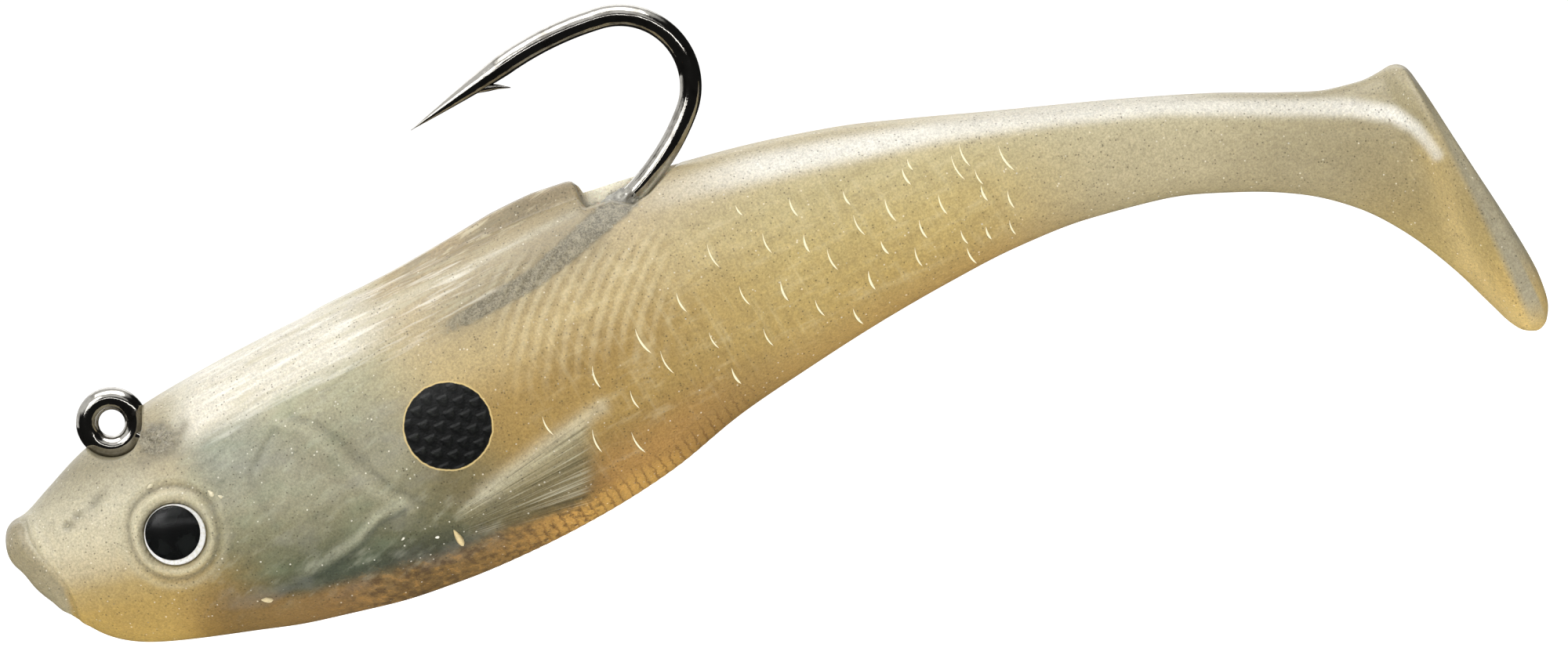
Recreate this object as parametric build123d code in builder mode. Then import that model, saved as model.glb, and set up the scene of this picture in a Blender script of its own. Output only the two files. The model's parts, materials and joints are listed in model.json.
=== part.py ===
"""A paddle-tail swimbait: a soft-plastic shad moulded round a jig hook with a lead ballast.

Millimetres. The lure swims level along X, nose towards -X and paddle tail towards +X, +Z up.
It is symmetric about the XZ plane. The origin is the centre of the line-tie eye.
"""

import os
from math import cos, radians, sin

from build123d import *

# ---------------------------------------------------------------- driving dimensions
# Soft body: stations from nose to ankle, as (x, back height, belly height, half width).
BODY_STATIONS = [
    (-8.5, -5.7, -7.9, 1.5),
    (-8.0, -5.0, -8.9, 2.3),
    (-7.0, -4.5, -9.9, 3.0),
    (-5.0, -3.2, -12.0, 3.7),
    (-2.5, -1.5, -14.1, 4.3),
    (0.5, -0.1, -14.9, 4.8),
    (5.0, 1.5, -15.3, 5.3),
    (12.0, 3.4, -15.7, 5.8),
    (20.0, 5.2, -15.2, 6.0),
    (28.0, 6.9, -13.6, 5.7),
    (34.0, 7.75, -11.6, 5.2),
    (40.0, 8.2, -8.75, 4.7),
    (47.0, 8.3, -6.05, 4.1),
    (54.0, 7.75, -3.7, 3.5),
    (62.0, 6.7, -1.8, 3.0),
    (70.0, 5.55, -1.2, 2.6),
    (77.0, 4.3, -2.35, 2.25),
]
NOSE_ROUND = 0.7

# Ankle: leaning stations that fan round into the paddle, as (back x, back z, toe x, toe z,
# half width). The last one lies inside the paddle plate.
ANKLE_STATIONS = [
    (80.8, 3.5, 81.2, -3.95, 1.95),
    (83.2, 3.3, 84.6, -6.6, 1.9),
    (85.0, 3.4, 87.9, -10.7, 2.5),
    (86.5, 3.55, 91.7, -14.4, 4.4),
]

# Dorsal ridge: a thin fin along the back that ends in a step in front of the hook.
RIDGE_OUTLINE = [(13.0, 2.6), (15.0, 4.2), (20.0, 5.5), (24.0, 6.7), (28.0, 7.85), (32.3, 8.7)]
RIDGE_STEP_X = 33.2
RIDGE_STEP_DROP = 0.6
RIDGE_ROOT_Z = 1.0
RIDGE_HALF_WIDTH = 1.15
RIDGE_ROUND = 0.55

# Hook slot: the open groove in the back where the wire comes out.
SLOT_OUTLINE = [(33.2, 6.6), (35.2, 6.3), (37.4, 6.5), (40.4, 8.4), (40.4, 12.0), (33.2, 12.0)]
SLOT_HALF_WIDTH = 1.0

# Hook: one length of round wire, with a ring eye, a shank, a bend and a barbed point.
WIRE_R = 0.71
EYE_RING_R = 1.53
EYE_WIRE_R = 0.74
EYE_HOLE_R = 0.86
EYE_NOTCH_R = 2.45
NECK_ANGLE = -38.0
NECK_REACH = 4.19
NECK_BEND_R = 2.0
SHANK_ANGLE = 14.4
SHANK_LENGTH = 18.2
HOOK_ARCS = [(67.3, 11.0), (15.4, 31.0), (4.6, 127.2), (21.3, 18.6)]
POINT_LENGTH = 7.5
POINT_TIP_R = 0.05
BARB_OUTLINE = [(27.9, 15.75), (30.25, 15.4), (29.6, 16.4)]
BARB_HALF_WIDTH = 0.22

# Lead: ballast in the head, as (x, centre height, half height, half width), and a collar
# that starts at a share of the shank's length and runs back along the wire to the hook slot.
BALLAST_STATIONS = [
    (1.6, -6.6, 2.2, 1.5),
    (5.0, -6.8, 4.6, 3.0),
    (9.5, -6.5, 5.6, 3.7),
    (14.0, -5.2, 5.0, 3.5),
    (18.0, -2.8, 3.2, 2.5),
    (21.5, 0.4, 1.4, 1.3),
]
COLLAR_R = 1.0
COLLAR_START = 0.74
COLLAR_TAIL_ANGLE = 7.0

# Neck sleeve: the cone of lead round the wire behind the eye, widening towards the ballast.
NECK_SLEEVE_START = 0.9
NECK_SLEEVE_LENGTH = 3.6
NECK_SLEEVE_FRONT_R = 1.03
NECK_SLEEVE_BACK_R = 1.95

# Flash foil: one thin sheet in each flank, just under the surface.
FOIL_OUTER_SHARE = 0.84
FOIL_INNER_SHARE = 0.812
FOIL_OUTLINE = [(-2.5, -8.0), (4.0, -12.2), (14.0, -12.6), (23.0, -11.0), (27.5, -4.5), (25.5, 1.2),
                (17.0, 1.0), (8.0, -0.6), (1.0, -3.6)]
FOIL_EYE_GAP = 0.3

# Eyes: a foil iris, a black pupil on it and a clear dome over both, in a pocket each side.
EYE_X, EYE_Z = 2.8, -7.6
EYE_POCKET_FLOOR = 3.95
IRIS_R, IRIS_THICKNESS = 2.05, 0.15
PUPIL_R, PUPIL_THICKNESS = 1.78, 0.08
LENS_RIM_THICKNESS = 0.4
LENS_DOME_HEIGHT = 0.55

# Flex stations: (x, knuckle radius, bend each way in degrees). The moulding bends about an
# upright axis at each, and its CAD solids meet there in a round knuckle and socket.
BODY_FLEX = (47.0, 4.3, 15.0)
STEM_FLEX = (64.0, 3.0, 25.0)
PADDLE_FLEX = (80.0, 2.3, 35.0)
KNUCKLE_GAP = 0.1
HORN_CLEARANCE = 0.35

# Paddle plate: an oval across the end of the ankle, leaning back towards its toe. These are
# the two ends of its rear face.
PLATE_HEEL = (87.4, 4.05)
PLATE_TOE = (93.4, -14.7)
PLATE_THICKNESS = 1.6
PLATE_HALF_WIDTH = 5.0
PLATE_ROUND = 0.6

FAR = 60.0
OUT = "parts"


def side_plane():
    """The XZ plane with X to the right and Z up; its normal is -Y."""
    return Plane.XZ


def polar(length, angle):
    """The point at a length from the origin, at an angle in degrees."""
    return (length * cos(radians(angle)), length * sin(radians(angle)))


def save(piece, label):
    """Names a finished sub-part and writes its STEP file."""
    piece.part.label = label
    export_step(piece.part, f"{OUT}/{label}.step")


def leaning_plane(top, toe):
    """A plane across the fish through two points of its outline, facing the tail."""
    middle = (Vector(top[0], 0, top[1]) + Vector(toe[0], 0, toe[1])) / 2
    return Plane(origin=middle, x_dir=(0, 1, 0), z_dir=(top[1] - toe[1], 0, toe[0] - top[0]))


def distance(start, end):
    """The distance between two points of the XZ plane."""
    return Vector(end[0] - start[0], 0, end[1] - start[1]).length


def fish_body(width_share=1.0):
    """The whole moulding from nose to paddle, with its width scaled by width_share."""
    with BuildPart() as body:
        for x, back, belly, half_width in BODY_STATIONS:
            with BuildSketch(leaning_plane((x, back), (x, belly))):
                Ellipse(half_width * width_share, (back - belly) / 2)
        for back_x, back_z, toe_x, toe_z, half_width in ANKLE_STATIONS:
            with BuildSketch(leaning_plane((back_x, back_z), (toe_x, toe_z))):
                Ellipse(half_width * width_share, distance((back_x, back_z), (toe_x, toe_z)) / 2)
        loft()
    return body.part


def space_behind(flex):
    """Everything behind a flex station, with the round knuckle at its front."""
    x, radius, _ = flex
    with BuildPart() as space:
        with Locations((x, 0, 0)):
            Box(3 * FAR, 2 * FAR, 2 * FAR, align=(Align.MIN, Align.CENTER, Align.CENTER))
            Cylinder(radius, 2 * FAR)
    return space.part


def space_ahead(flex):
    """Everything in front of a flex station, less the socket that the knuckle turns in."""
    x, radius, bend = flex
    horn = radius * sin(radians(bend)) + HORN_CLEARANCE
    with BuildPart() as space:
        with Locations((x - horn, 0, 0)):
            Box(3 * FAR, 2 * FAR, 2 * FAR, align=(Align.MAX, Align.CENTER, Align.CENTER))
        with Locations((x, 0, 0)):
            Cylinder(radius + KNUCKLE_GAP, 2 * FAR, mode=Mode.SUBTRACT)
    return space.part


def eye_plane(side, height):
    """A plane at the eye, height millimetres out from the middle, facing out on that side."""
    return Plane(origin=(EYE_X, side * height, EYE_Z), x_dir=(1, 0, 0), z_dir=(0, side, 0))


os.makedirs(OUT, exist_ok=True)

# ---------------------------------------------------------------- hook
with BuildPart() as hook:
    with BuildSketch(Plane.XY):
        with Locations((EYE_RING_R, 0)):
            Circle(EYE_WIRE_R)
    revolve(axis=Axis.Y)

    with BuildLine(side_plane()) as wire_path:
        neck = Line(polar(EYE_RING_R, NECK_ANGLE), polar(NECK_REACH, NECK_ANGLE))
        neck_bend = JernArc(neck @ 1, neck % 1, NECK_BEND_R, SHANK_ANGLE - NECK_ANGLE)
        shank = PolarLine(neck_bend @ 1, SHANK_LENGTH, angle=SHANK_ANGLE)
        piece = shank
        for radius, turn in HOOK_ARCS:
            piece = JernArc(piece @ 1, piece % 1, radius, turn)
    with BuildSketch(Plane(origin=wire_path.line @ 0, z_dir=wire_path.line % 0)):
        Circle(WIRE_R)
    sweep(path=wire_path.line)

    with Locations(Plane(origin=wire_path.line @ 1, z_dir=wire_path.line % 1)):
        Cone(WIRE_R, POINT_TIP_R, POINT_LENGTH, align=(Align.CENTER, Align.CENTER, Align.MIN))
    with BuildSketch(side_plane()):
        Polygon(*BARB_OUTLINE, align=None)
    extrude(amount=BARB_HALF_WIDTH, both=True)
    with Locations(Location((0, 0, 0), (90, 0, 0))):
        Cylinder(EYE_HOLE_R, 4 * EYE_WIRE_R, mode=Mode.SUBTRACT)
save(hook, "hook")

# ---------------------------------------------------------------- lead weight
with BuildPart() as lead_weight:
    for x, middle, half_height, half_width in BALLAST_STATIONS:
        with BuildSketch(Plane.YZ.offset(x)):
            with Locations((0, middle)):
                Ellipse(half_width, half_height)
    loft()

    with BuildLine(side_plane()) as collar_path:
        run = Line(shank @ COLLAR_START, shank @ 1)
        rise = JernArc(run @ 1, run % 1, *HOOK_ARCS[0])
        JernArc(rise @ 1, rise % 1, HOOK_ARCS[1][0], COLLAR_TAIL_ANGLE)
    with BuildSketch(Plane(origin=collar_path.line @ 0, z_dir=collar_path.line % 0)):
        Circle(COLLAR_R)
    sweep(path=collar_path.line)

    sleeve_plane = Plane(origin=wire_path.line @ 0, z_dir=wire_path.line % 0)
    with Locations(sleeve_plane.offset(NECK_SLEEVE_START)):
        Cone(NECK_SLEEVE_FRONT_R, NECK_SLEEVE_BACK_R, NECK_SLEEVE_LENGTH,
             align=(Align.CENTER, Align.CENTER, Align.MIN))
    with Locations(Location((0, 0, 0), (90, 0, 0))):
        Cylinder(EYE_NOTCH_R, FAR, mode=Mode.SUBTRACT)
    add(hook.part, mode=Mode.SUBTRACT)
save(lead_weight, "lead_weight")

# ---------------------------------------------------------------- flash foils
fish_outer_foil = fish_body(FOIL_OUTER_SHARE)
fish_inner_foil = fish_body(FOIL_INNER_SHARE)
flash_foils = {}
for side, word in ((-1, "left"), (1, "right")):
    with BuildPart() as flash_foil:
        with BuildSketch(side_plane()):
            with BuildLine():
                Spline(*FOIL_OUTLINE, periodic=True)
            make_face()
        extrude(amount=-side * FAR)
        add(fish_outer_foil, mode=Mode.INTERSECT)
        add(fish_inner_foil, mode=Mode.SUBTRACT)
        with Locations(eye_plane(side, EYE_POCKET_FLOOR - FOIL_EYE_GAP)):
            Cylinder(IRIS_R + FOIL_EYE_GAP, FAR, align=(Align.CENTER, Align.CENTER, Align.MIN),
                     mode=Mode.SUBTRACT)
    save(flash_foil, f"flash_foil_{word}")
    flash_foils[word] = flash_foil.part

# ---------------------------------------------------------------- eyes
eye_pieces = []
for side, word in ((-1, "left"), (1, "right")):
    with BuildPart() as eye_iris:
        with BuildSketch(eye_plane(side, EYE_POCKET_FLOOR)):
            Circle(IRIS_R)
        extrude(amount=IRIS_THICKNESS)
    save(eye_iris, f"eye_iris_{word}")

    iris_top = EYE_POCKET_FLOOR + IRIS_THICKNESS
    with BuildPart() as eye_pupil:
        with BuildSketch(eye_plane(side, iris_top)):
            Circle(PUPIL_R)
        extrude(amount=PUPIL_THICKNESS)
    save(eye_pupil, f"eye_pupil_{word}")

    with BuildPart() as eye_lens:
        with BuildSketch(eye_plane(side, iris_top)):
            Circle(IRIS_R)
        extrude(amount=LENS_RIM_THICKNESS)
        dome_radius = (IRIS_R**2 + LENS_DOME_HEIGHT**2) / (2 * LENS_DOME_HEIGHT)
        rim_top = iris_top + LENS_RIM_THICKNESS
        with BuildSketch(eye_plane(side, rim_top)):
            Circle(IRIS_R)
        extrude(amount=LENS_DOME_HEIGHT)
        with Locations(eye_plane(side, rim_top + LENS_DOME_HEIGHT - dome_radius)):
            Sphere(dome_radius, mode=Mode.INTERSECT)
        add(eye_pupil.part, mode=Mode.SUBTRACT)
    save(eye_lens, f"eye_lens_{word}")
    eye_pieces.append((side, eye_iris.part, eye_pupil.part, eye_lens.part))

# ---------------------------------------------------------------- soft body
whole_fish = fish_body()

with BuildPart() as ridge:
    with BuildSketch(side_plane()):
        with BuildLine():
            back = Spline(*RIDGE_OUTLINE)
            Polyline(back @ 1, (RIDGE_STEP_X, RIDGE_OUTLINE[-1][1] - RIDGE_STEP_DROP),
                     (RIDGE_STEP_X, RIDGE_ROOT_Z), (RIDGE_OUTLINE[0][0], RIDGE_ROOT_Z),
                     RIDGE_OUTLINE[0])
        make_face()
    extrude(amount=RIDGE_HALF_WIDTH, both=True)
    crest = ridge.faces().filter_by(GeomType.PLANE, reverse=True)
    fillet(crest.edges().filter_by(GeomType.BSPLINE), RIDGE_ROUND)

with BuildPart() as soft_body_front:
    add(whole_fish)
    fillet(soft_body_front.faces().sort_by(Axis.X)[0].edges(), NOSE_ROUND)
    add(ridge.part)
    with BuildSketch(side_plane()):
        Polygon(*SLOT_OUTLINE, align=None)
    extrude(amount=SLOT_HALF_WIDTH, both=True, mode=Mode.SUBTRACT)
    with Locations(Location((0, 0, 0), (90, 0, 0))):
        Cylinder(EYE_NOTCH_R, FAR, mode=Mode.SUBTRACT)
    add(space_ahead(BODY_FLEX), mode=Mode.INTERSECT)
    for side, _, _, _ in eye_pieces:
        with Locations(eye_plane(side, EYE_POCKET_FLOOR)):
            Cylinder(IRIS_R, FAR, align=(Align.CENTER, Align.CENTER, Align.MIN),
                     mode=Mode.SUBTRACT)
    add(lead_weight.part, mode=Mode.SUBTRACT)
    add(hook.part, mode=Mode.SUBTRACT)
    for foil in flash_foils.values():
        add(foil, mode=Mode.SUBTRACT)
save(soft_body_front, "soft_body_front")

with BuildPart() as soft_body_middle:
    add(whole_fish)
    add(space_behind(BODY_FLEX), mode=Mode.INTERSECT)
    add(space_ahead(STEM_FLEX), mode=Mode.INTERSECT)
save(soft_body_middle, "soft_body_middle")

with BuildPart() as tail_stem:
    add(whole_fish)
    add(space_behind(STEM_FLEX), mode=Mode.INTERSECT)
    add(space_ahead(PADDLE_FLEX), mode=Mode.INTERSECT)
save(tail_stem, "tail_stem")

# ---------------------------------------------------------------- paddle
with BuildPart() as plate:
    with BuildSketch(leaning_plane(PLATE_HEEL, PLATE_TOE)):
        Ellipse(PLATE_HALF_WIDTH, distance(PLATE_HEEL, PLATE_TOE) / 2)
    extrude(amount=-PLATE_THICKNESS)
    fillet(plate.edges(), PLATE_ROUND)

with BuildPart() as paddle:
    add(whole_fish)
    add(space_behind(PADDLE_FLEX), mode=Mode.INTERSECT)
    add(plate.part)
save(paddle, "paddle")
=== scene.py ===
"""The swimbait's looks: pearl soft-plastic skin, hook, lead casting and eyes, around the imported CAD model.

Shapes are worked out in millimetres and scaled to metres where each mesh is made. The lure points along
-X with +Z up, and its origin is the centre of the line eye.
"""

import json
import math

import bpy
import numpy as np
from mathutils import Matrix, Vector
from mathutils.bvhtree import BVHTree


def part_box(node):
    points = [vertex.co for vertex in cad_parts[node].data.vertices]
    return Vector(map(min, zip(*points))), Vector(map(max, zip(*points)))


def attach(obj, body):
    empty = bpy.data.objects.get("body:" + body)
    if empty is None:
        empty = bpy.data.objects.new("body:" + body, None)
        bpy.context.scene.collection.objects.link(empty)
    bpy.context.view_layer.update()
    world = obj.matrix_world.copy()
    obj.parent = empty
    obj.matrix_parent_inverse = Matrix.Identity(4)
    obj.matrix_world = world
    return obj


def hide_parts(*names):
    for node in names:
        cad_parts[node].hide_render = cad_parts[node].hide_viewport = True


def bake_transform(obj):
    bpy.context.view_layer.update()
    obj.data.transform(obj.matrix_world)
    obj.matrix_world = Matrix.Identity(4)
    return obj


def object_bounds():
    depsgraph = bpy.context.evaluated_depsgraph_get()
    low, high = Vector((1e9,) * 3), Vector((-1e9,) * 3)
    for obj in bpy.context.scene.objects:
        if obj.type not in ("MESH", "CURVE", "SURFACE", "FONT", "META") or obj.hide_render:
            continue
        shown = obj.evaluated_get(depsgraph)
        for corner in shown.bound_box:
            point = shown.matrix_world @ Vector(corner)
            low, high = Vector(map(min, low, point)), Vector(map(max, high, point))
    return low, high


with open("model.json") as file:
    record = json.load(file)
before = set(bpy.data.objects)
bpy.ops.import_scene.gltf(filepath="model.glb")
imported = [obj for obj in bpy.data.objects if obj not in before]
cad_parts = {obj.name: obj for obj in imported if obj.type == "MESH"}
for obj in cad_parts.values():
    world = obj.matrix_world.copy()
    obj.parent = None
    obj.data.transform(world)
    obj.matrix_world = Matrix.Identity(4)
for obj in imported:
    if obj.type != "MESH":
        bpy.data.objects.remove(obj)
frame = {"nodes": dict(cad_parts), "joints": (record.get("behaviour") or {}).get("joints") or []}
cad_low, cad_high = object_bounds()

MM = 0.001
JOINT_X = {joint["name"]: joint["pos_m"][0] / MM for joint in frame["joints"]}
SEAMS = [
    (JOINT_X["body_flex"] + JOINT_X["stem_flex"]) / 2,
    (JOINT_X["stem_flex"] + JOINT_X["paddle_flex"]) / 2,
]

# ---------------- skin shape
# Ribs from nose tip to the middle of the paddle's rear face: back x, back z, belly x, belly z, half width.
RIBS = np.array([
    (-8.52, -6.45, -8.52, -6.75, 0.15),
    (-8.46, -5.9, -8.48, -7.3, 1),
    (-8.28, -5.3, -8.32, -8, 1.7),
    (-7.75, -4.8, -7.85, -8.85, 2.3),
    (-7, -4.55, -7, -9.9, 2.85),
    (-5, -3.2, -5.3, -11.8, 3.6),
    (-2.2, -1.3, -3.2, -13.7, 4.25),
    (0, -0.3, -1, -14.55, 4.7),
    (2.4, 0.75, 2, -15, 5.05),
    (6, 1.9, 6, -15.35, 5.4),
    (10, 3, 10, -15.65, 5.7),
    (15, 4.2, 15, -15.65, 5.95),
    (20, 5.2, 20, -15.2, 6),
    (25, 6.3, 25, -14.3, 5.85),
    (30, 7.3, 30, -13, 5.55),
    (35, 7.88, 35, -11.2, 5.15),
    (40, 8.2, 40, -8.7, 4.75),
    (45, 8.35, 45, -6.75, 4.3),
    (50, 8.2, 50, -4.95, 3.9),
    (55, 7.65, 55, -3.4, 3.5),
    (60, 6.95, 60, -2.1, 3.15),
    (65, 6.3, 65, -1.35, 2.85),
    (70, 5.6, 70, -1.2, 2.6),
    (75, 4.75, 75, -1.9, 2.35),
    (79, 3.85, 79, -3, 2.15),
    (82, 3.35, 82.3, -4.7, 2),
    (84, 3.4, 85, -7, 2.1),
    (85.4, 3.7, 87.5, -10, 2.7),
    (86, 3.9, 89.5, -13, 4),
    (86.3, 3.97, 90.4, -14.3, 4.75),
    (86.6, 3.97, 91.1, -14.9, 5),
    (87.1, 3.75, 91.9, -15.1, 5.05),
    (87.5, 3.1, 92.6, -14.6, 4.8),
    (87.95, 1.7, 92.95, -13.3, 4.3),
    (88.5, 0, 92.75, -11.5, 3.4),
    (89.5, -2.7, 91.8, -8.9, 1.7),
    (90.6, -5.6, 90.7, -6, 0.15),
])
ROW_STEP = 0.225
COLUMNS = 320
SMOOTHING = 0.9

# The ridge's crest above the back, as (x, rise), and where its rounded end drops into the hook slot.
RIDGE_RISE = [(13, 0), (15, 0.12), (18, 0.2), (20, 0.32), (24, 0.65), (27, 1), (30, 1.12), (33.2, 1)]
RIDGE_END, RIDGE_END_R = 33.2, 0.9
RIDGE_HALF_WIDTH = 1.05

# The hook slot: its floor, and its left lip. The right lip isn't cut: its wall ends above the back.
SLOT_FLOOR = [(33, 5.5), (34.5, 5.5), (36.4, 5.75), (38, 6.8), (39.6, 8.1), (41, 9.5)]
SLOT_LEFT_LIP = [(33, 6.75), (35, 6.9), (36.3, 6.3), (37.5, 6.75), (39.2, 7.95), (41, 9.5)]
SLOT_HALF_WIDTH = 0.9
ABOVE_BACK = 20

LINE_NOTCH_R = 2.22
NOTCH_HEIGHT = 12

# ---------------- hook, lead and eyes
WIRE_R = 0.71
RING_R, RING_WIRE_R = 1.59, 0.73
NECK_ANGLE, NECK_REACH, NECK_BEND_R = -38, 4.19, 2
SHANK_ANGLE, SHANK_LENGTH = 14.4, 18.2
# From the shank's end to the point, as arcs: radius and degrees turned.
HOOK_ARCS = [(67.3, 11), (15.4, 31), (4.6, 127.2), (21.3, 18.6)]
POINT_LENGTH = 7.4
# The barb's centre line, and its half sizes across and up.
BARB = [(27.5, 15.75), (28.1, 15.78), (28.8, 15.75), (29.5, 15.65), (30.25, 15.42)]
BARB_ACROSS = [0.05, 0.22, 0.3, 0.2, 0.03]
BARB_UP = [0.05, 0.24, 0.26, 0.16, 0.03]

# The ballast's centre line and half sizes, the collar's radius by x, and the sleeve's by reach.
BALLAST = [(1.3, -6.6), (1.9, -6.6), (5, -6.8), (9.5, -6.5), (14, -5.2), (18, -2.8), (21, 0), (22, 0.8)]
BALLAST_ACROSS = [0.3, 1.5, 3, 3.7, 3.5, 2.5, 1.2, 0.4]
BALLAST_UP = [0.4, 2, 4.4, 5.5, 4.7, 2.8, 1.2, 0.4]
COLLAR_START, COLLAR_END = 17.5, 36.3
COLLAR_R = [(30, 1), (34, 0.97), (35.3, 0.95), (COLLAR_END - 0.25, 0.85), (COLLAR_END, 0.74)]
SLEEVE_R = [(2.35, 0.78), (2.6, 0.95), (3.4, 1.15), (4.4, 1.5)]

eye_low, eye_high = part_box("eye_iris_left")
EYE = ((eye_low.x + eye_high.x) / 2 / MM, (eye_low.z + eye_high.z) / 2 / MM)
EYE_SEAT = 4.6
IRIS_R = 2
PUPIL_R = 1.78
PUPIL_SHIFT = (-0.13, 0.13)
LENS_RISE = 0.62

# ---------------- markings
# Heights and lengths of the markings are those of the lure's side elevation, drawn from a little above
# and at a short distance, so a point that stands out from the middle shows a little lower and wider.
DRAWN_FROM = 383
DRAWN_CENTRE = (44, -3.8)
DRAWN_DIP = 0.087

LIP_LINE = [
    (-7.5, -4.2), (-7.1, -5), (-7.07, -6.26), (-6.71, -7.39),
    (-6.05, -8.58), (-5.49, -9.74), (-5.3, -11), (-5.3, -12.6),
]
GILL_LINE = [(11, -2.4), (12.6, -3.3), (13.7, -4.6), (15, -6.6), (16.2, -8.35), (17.5, -9.3), (18.2, -9.9)]
CHEEK_LINE = [(10.2, -2.9), (9, -4.2), (7.9, -5.5), (8.3, -7.4), (8.9, -9.1)]
JAW_LINE = [(6.9, -13.75), (9, -13.1), (11.5, -12.6), (13.8, -11.6), (15.4, -10.4), (17.2, -9.9)]
JAW_SHADOW = [(8, -12.6), (12, -12.8), (15, -12.9), (18, -13.1), (21, -12.9), (24, -12.2)]
# Nostril pits: place, size and height.
DIMPLES = [
    (-4.38, -5.95, 0.32, -0.24), (-3.7, -5.5, 0.35, -0.12),
    (-2.5, -5, 0.45, -0.12), (-1.9, -4.7, 0.4, -0.08),
]
# Darker marks at the nostril: place, length and width.
NOSTRIL_DARK_MARKS = [(-4.38, -5.95, 0.3, 0.3), (-3.6, -5.5, 0.6, 0.3), (-2.2, -4.8, 0.9, 0.35)]
STAIN = (2.6, -1.7)

SPOT = (21.25, -5.15)
SPOT_R = 2.86
FIN_ROOT = (15.5, -12.8)
FIN_ANGLES = (2.5, 22.8)
FIN_REACH = (4.8, 14.7)
FIN_FOLD = 2.6
MUSCLE_GAP = 1
TICK_GAP = 0.72

BELLY_EDGE = [
    (-9, -8.5), (-5.3, -11.8), (-3.2, -13.7), (-1, -14.6), (2, -15.1), (6, -15.5), (10, -15.8), (15, -15.8),
    (20, -15.35), (25, -14.4), (30, -13.1), (35, -11.3), (40, -8.8), (45, -6.9), (50, -5.1), (55, -3.5),
    (60, -2.2), (66, -1.4),
]
AMBER_TOP = [
    (-9, -8.6), (-6, -9.6), (-4, -10.2), (-1, -11.6), (2, -12.7), (6, -13.5), (10, -14), (15, -13.8),
    (19, -13.6), (23, -13), (27, -12.4), (31, -11.6), (36, -10.2),
]
# A painted highlight along the back and down the paddle's rim: its line, width and strength by x.
BACK_HIGHLIGHT_LINE = [
    (34.5, 5.7), (37, 6.1), (40, 6.5), (44, 6.75), (50, 6.65), (57, 6.4), (64.3, 5.7), (71.5, 4.7),
    (78.3, 3), (83.2, 1.85), (85.8, 0.85), (87, -0.3), (87.6, -1.4), (88, -2.4),
]
BACK_HIGHLIGHT_WIDTH = [(34, 0.5), (38, 0.8), (44, 1), (52, 0.85), (64, 0.7), (80, 0.62), (85, 0.6), (88, 0.4)]
BACK_HIGHLIGHT_STRENGTH = [
    (36.5, 0), (40, 0.3), (45, 0.9), (52, 0.95), (58, 0.82), (80, 0.75), (84, 0.95), (86.5, 1), (88, 0.6),
]
# A painted highlight down the paddle inside its rim, where the back's highlight turns down.
PADDLE_HIGHLIGHT_LINE = [(87.6, -2), (88, -4.5), (88.4, -9.5), (89.4, -12), (90.6, -14.3)]

# Nodules and two painted glints, the white ones at (18.9, -12.1) and (16.7, -11.7): place in the side
# elevation, length, width, height, turn and colour.
NODULES_AND_GLINTS = [
    (20.25, -12.45, 1.25, 0.3, 0.28, -72, "c9ac6c"), (1.45, -4.62, 0.5, 0.2, 0.2, 20, "b8b096"),
    (5.2, -5.95, 0.55, 0.22, 0.22, -60, "c8c0a4"), (5.75, -6.3, 0.35, 0.15, 0.15, -40, "c8c0a4"),
    (7.15, -13.6, 0.8, 0.26, 0.2, -15, "b9a373"), (18.9, -12.1, 0.3, 0.12, 0.12, 0, "f4f4ec"),
    (16.7, -11.7, 0.3, 0.1, 0.1, 30, "e6e6da"), (-4.38, -5.95, 0.3, 0.12, 0.05, 40, "8a846e"),
]
# Raised scale edges, coloured as a painted highlight: place in the side elevation and length.
SCALE_EDGES_AND_HIGHLIGHTS = [
    (42.9, 4.3, 0.8), (46.4, 3.7, 1.3), (44.2, 1.8, 1.4), (40.6, 1.8, 1.7), (46.7, 1.2, 1.2),
    (48.1, -0.2, 1.5), (49.9, 3.5, 1), (50.3, 1.6, 1.5), (52.5, 2.1, 1.6), (51.6, -0.2, 1),
    (50.3, -2.1, 1.3), (54.3, 0.4, 1.3), (55.9, 1.7, 1.4), (53.6, -1.3, 1.3), (54, 4, 1.2),
    (54.4, 4.7, 0.8), (57.4, 3.8, 1.8), (58, 4.5, 1.6), (60.6, 3.7, 1.9), (58.7, 1.8, 1.1),
    (58.6, 2.9, 1.1), (60.3, 1, 1.2), (58.4, -0.8, 0.9), (56.8, -0.7, 1), (60, -0.8, 1), (57, -2, 1.2),
    (42, -1.2, 1.4), (44.6, -1.5, 1.4), (46.6, -3.1, 1.2), (42.9, -4.2, 1.3), (39.4, -3.6, 1.2),
    (37.9, -0.7, 1.4), (34.9, -2.6, 1.9), (36.1, -4.3, 1.7), (40.3, -6.2, 1.2), (48.9, -4.2, 1.2),
    (33.5, -6.2, 1.3), (33.1, -9, 1.6), (31.4, -4.2, 1.5), (27.6, -6.6, 1.4), (30.5, -8.3, 1.6),
]


# ---------------- numbers and colours
def linear(code):
    """The linear RGB of a six-digit sRGB colour."""
    parts = np.array([int(code[i:i + 2], 16) / 255 for i in (0, 2, 4)])
    return np.where(parts <= 0.04045, parts / 12.92, ((parts + 0.055) / 1.055) ** 2.4)


def smooth(low, high, value):
    """0 below low, 1 above high, and a smooth step between. low may be above high."""
    t = np.clip((value - low) / (high - low), 0, 1)
    return t * t * (3 - 2 * t)


def band(value, start, full, fade, end):
    """0 up to start, 1 from full to fade and 0 again from end on, smooth between."""
    return smooth(start, full, value) * smooth(end, fade, value)


def hump(centre, width, value):
    """A bell of height 1 around centre."""
    return np.exp(-(((value - centre) / width) ** 2))


def along(x, points):
    """The height at x of a line through points."""
    return np.interp(x, [p[0] for p in points], [p[1] for p in points])


def drawn(x, y, z):
    """Where a point of the skin lies in the side elevation that the markings are laid out on."""
    out = np.abs(y)
    spread = 1 + out / DRAWN_FROM
    mid_x, mid_z = DRAWN_CENTRE
    return mid_x + (x - mid_x) * spread, mid_z + (z - mid_z) * spread - DRAWN_DIP * out


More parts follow.
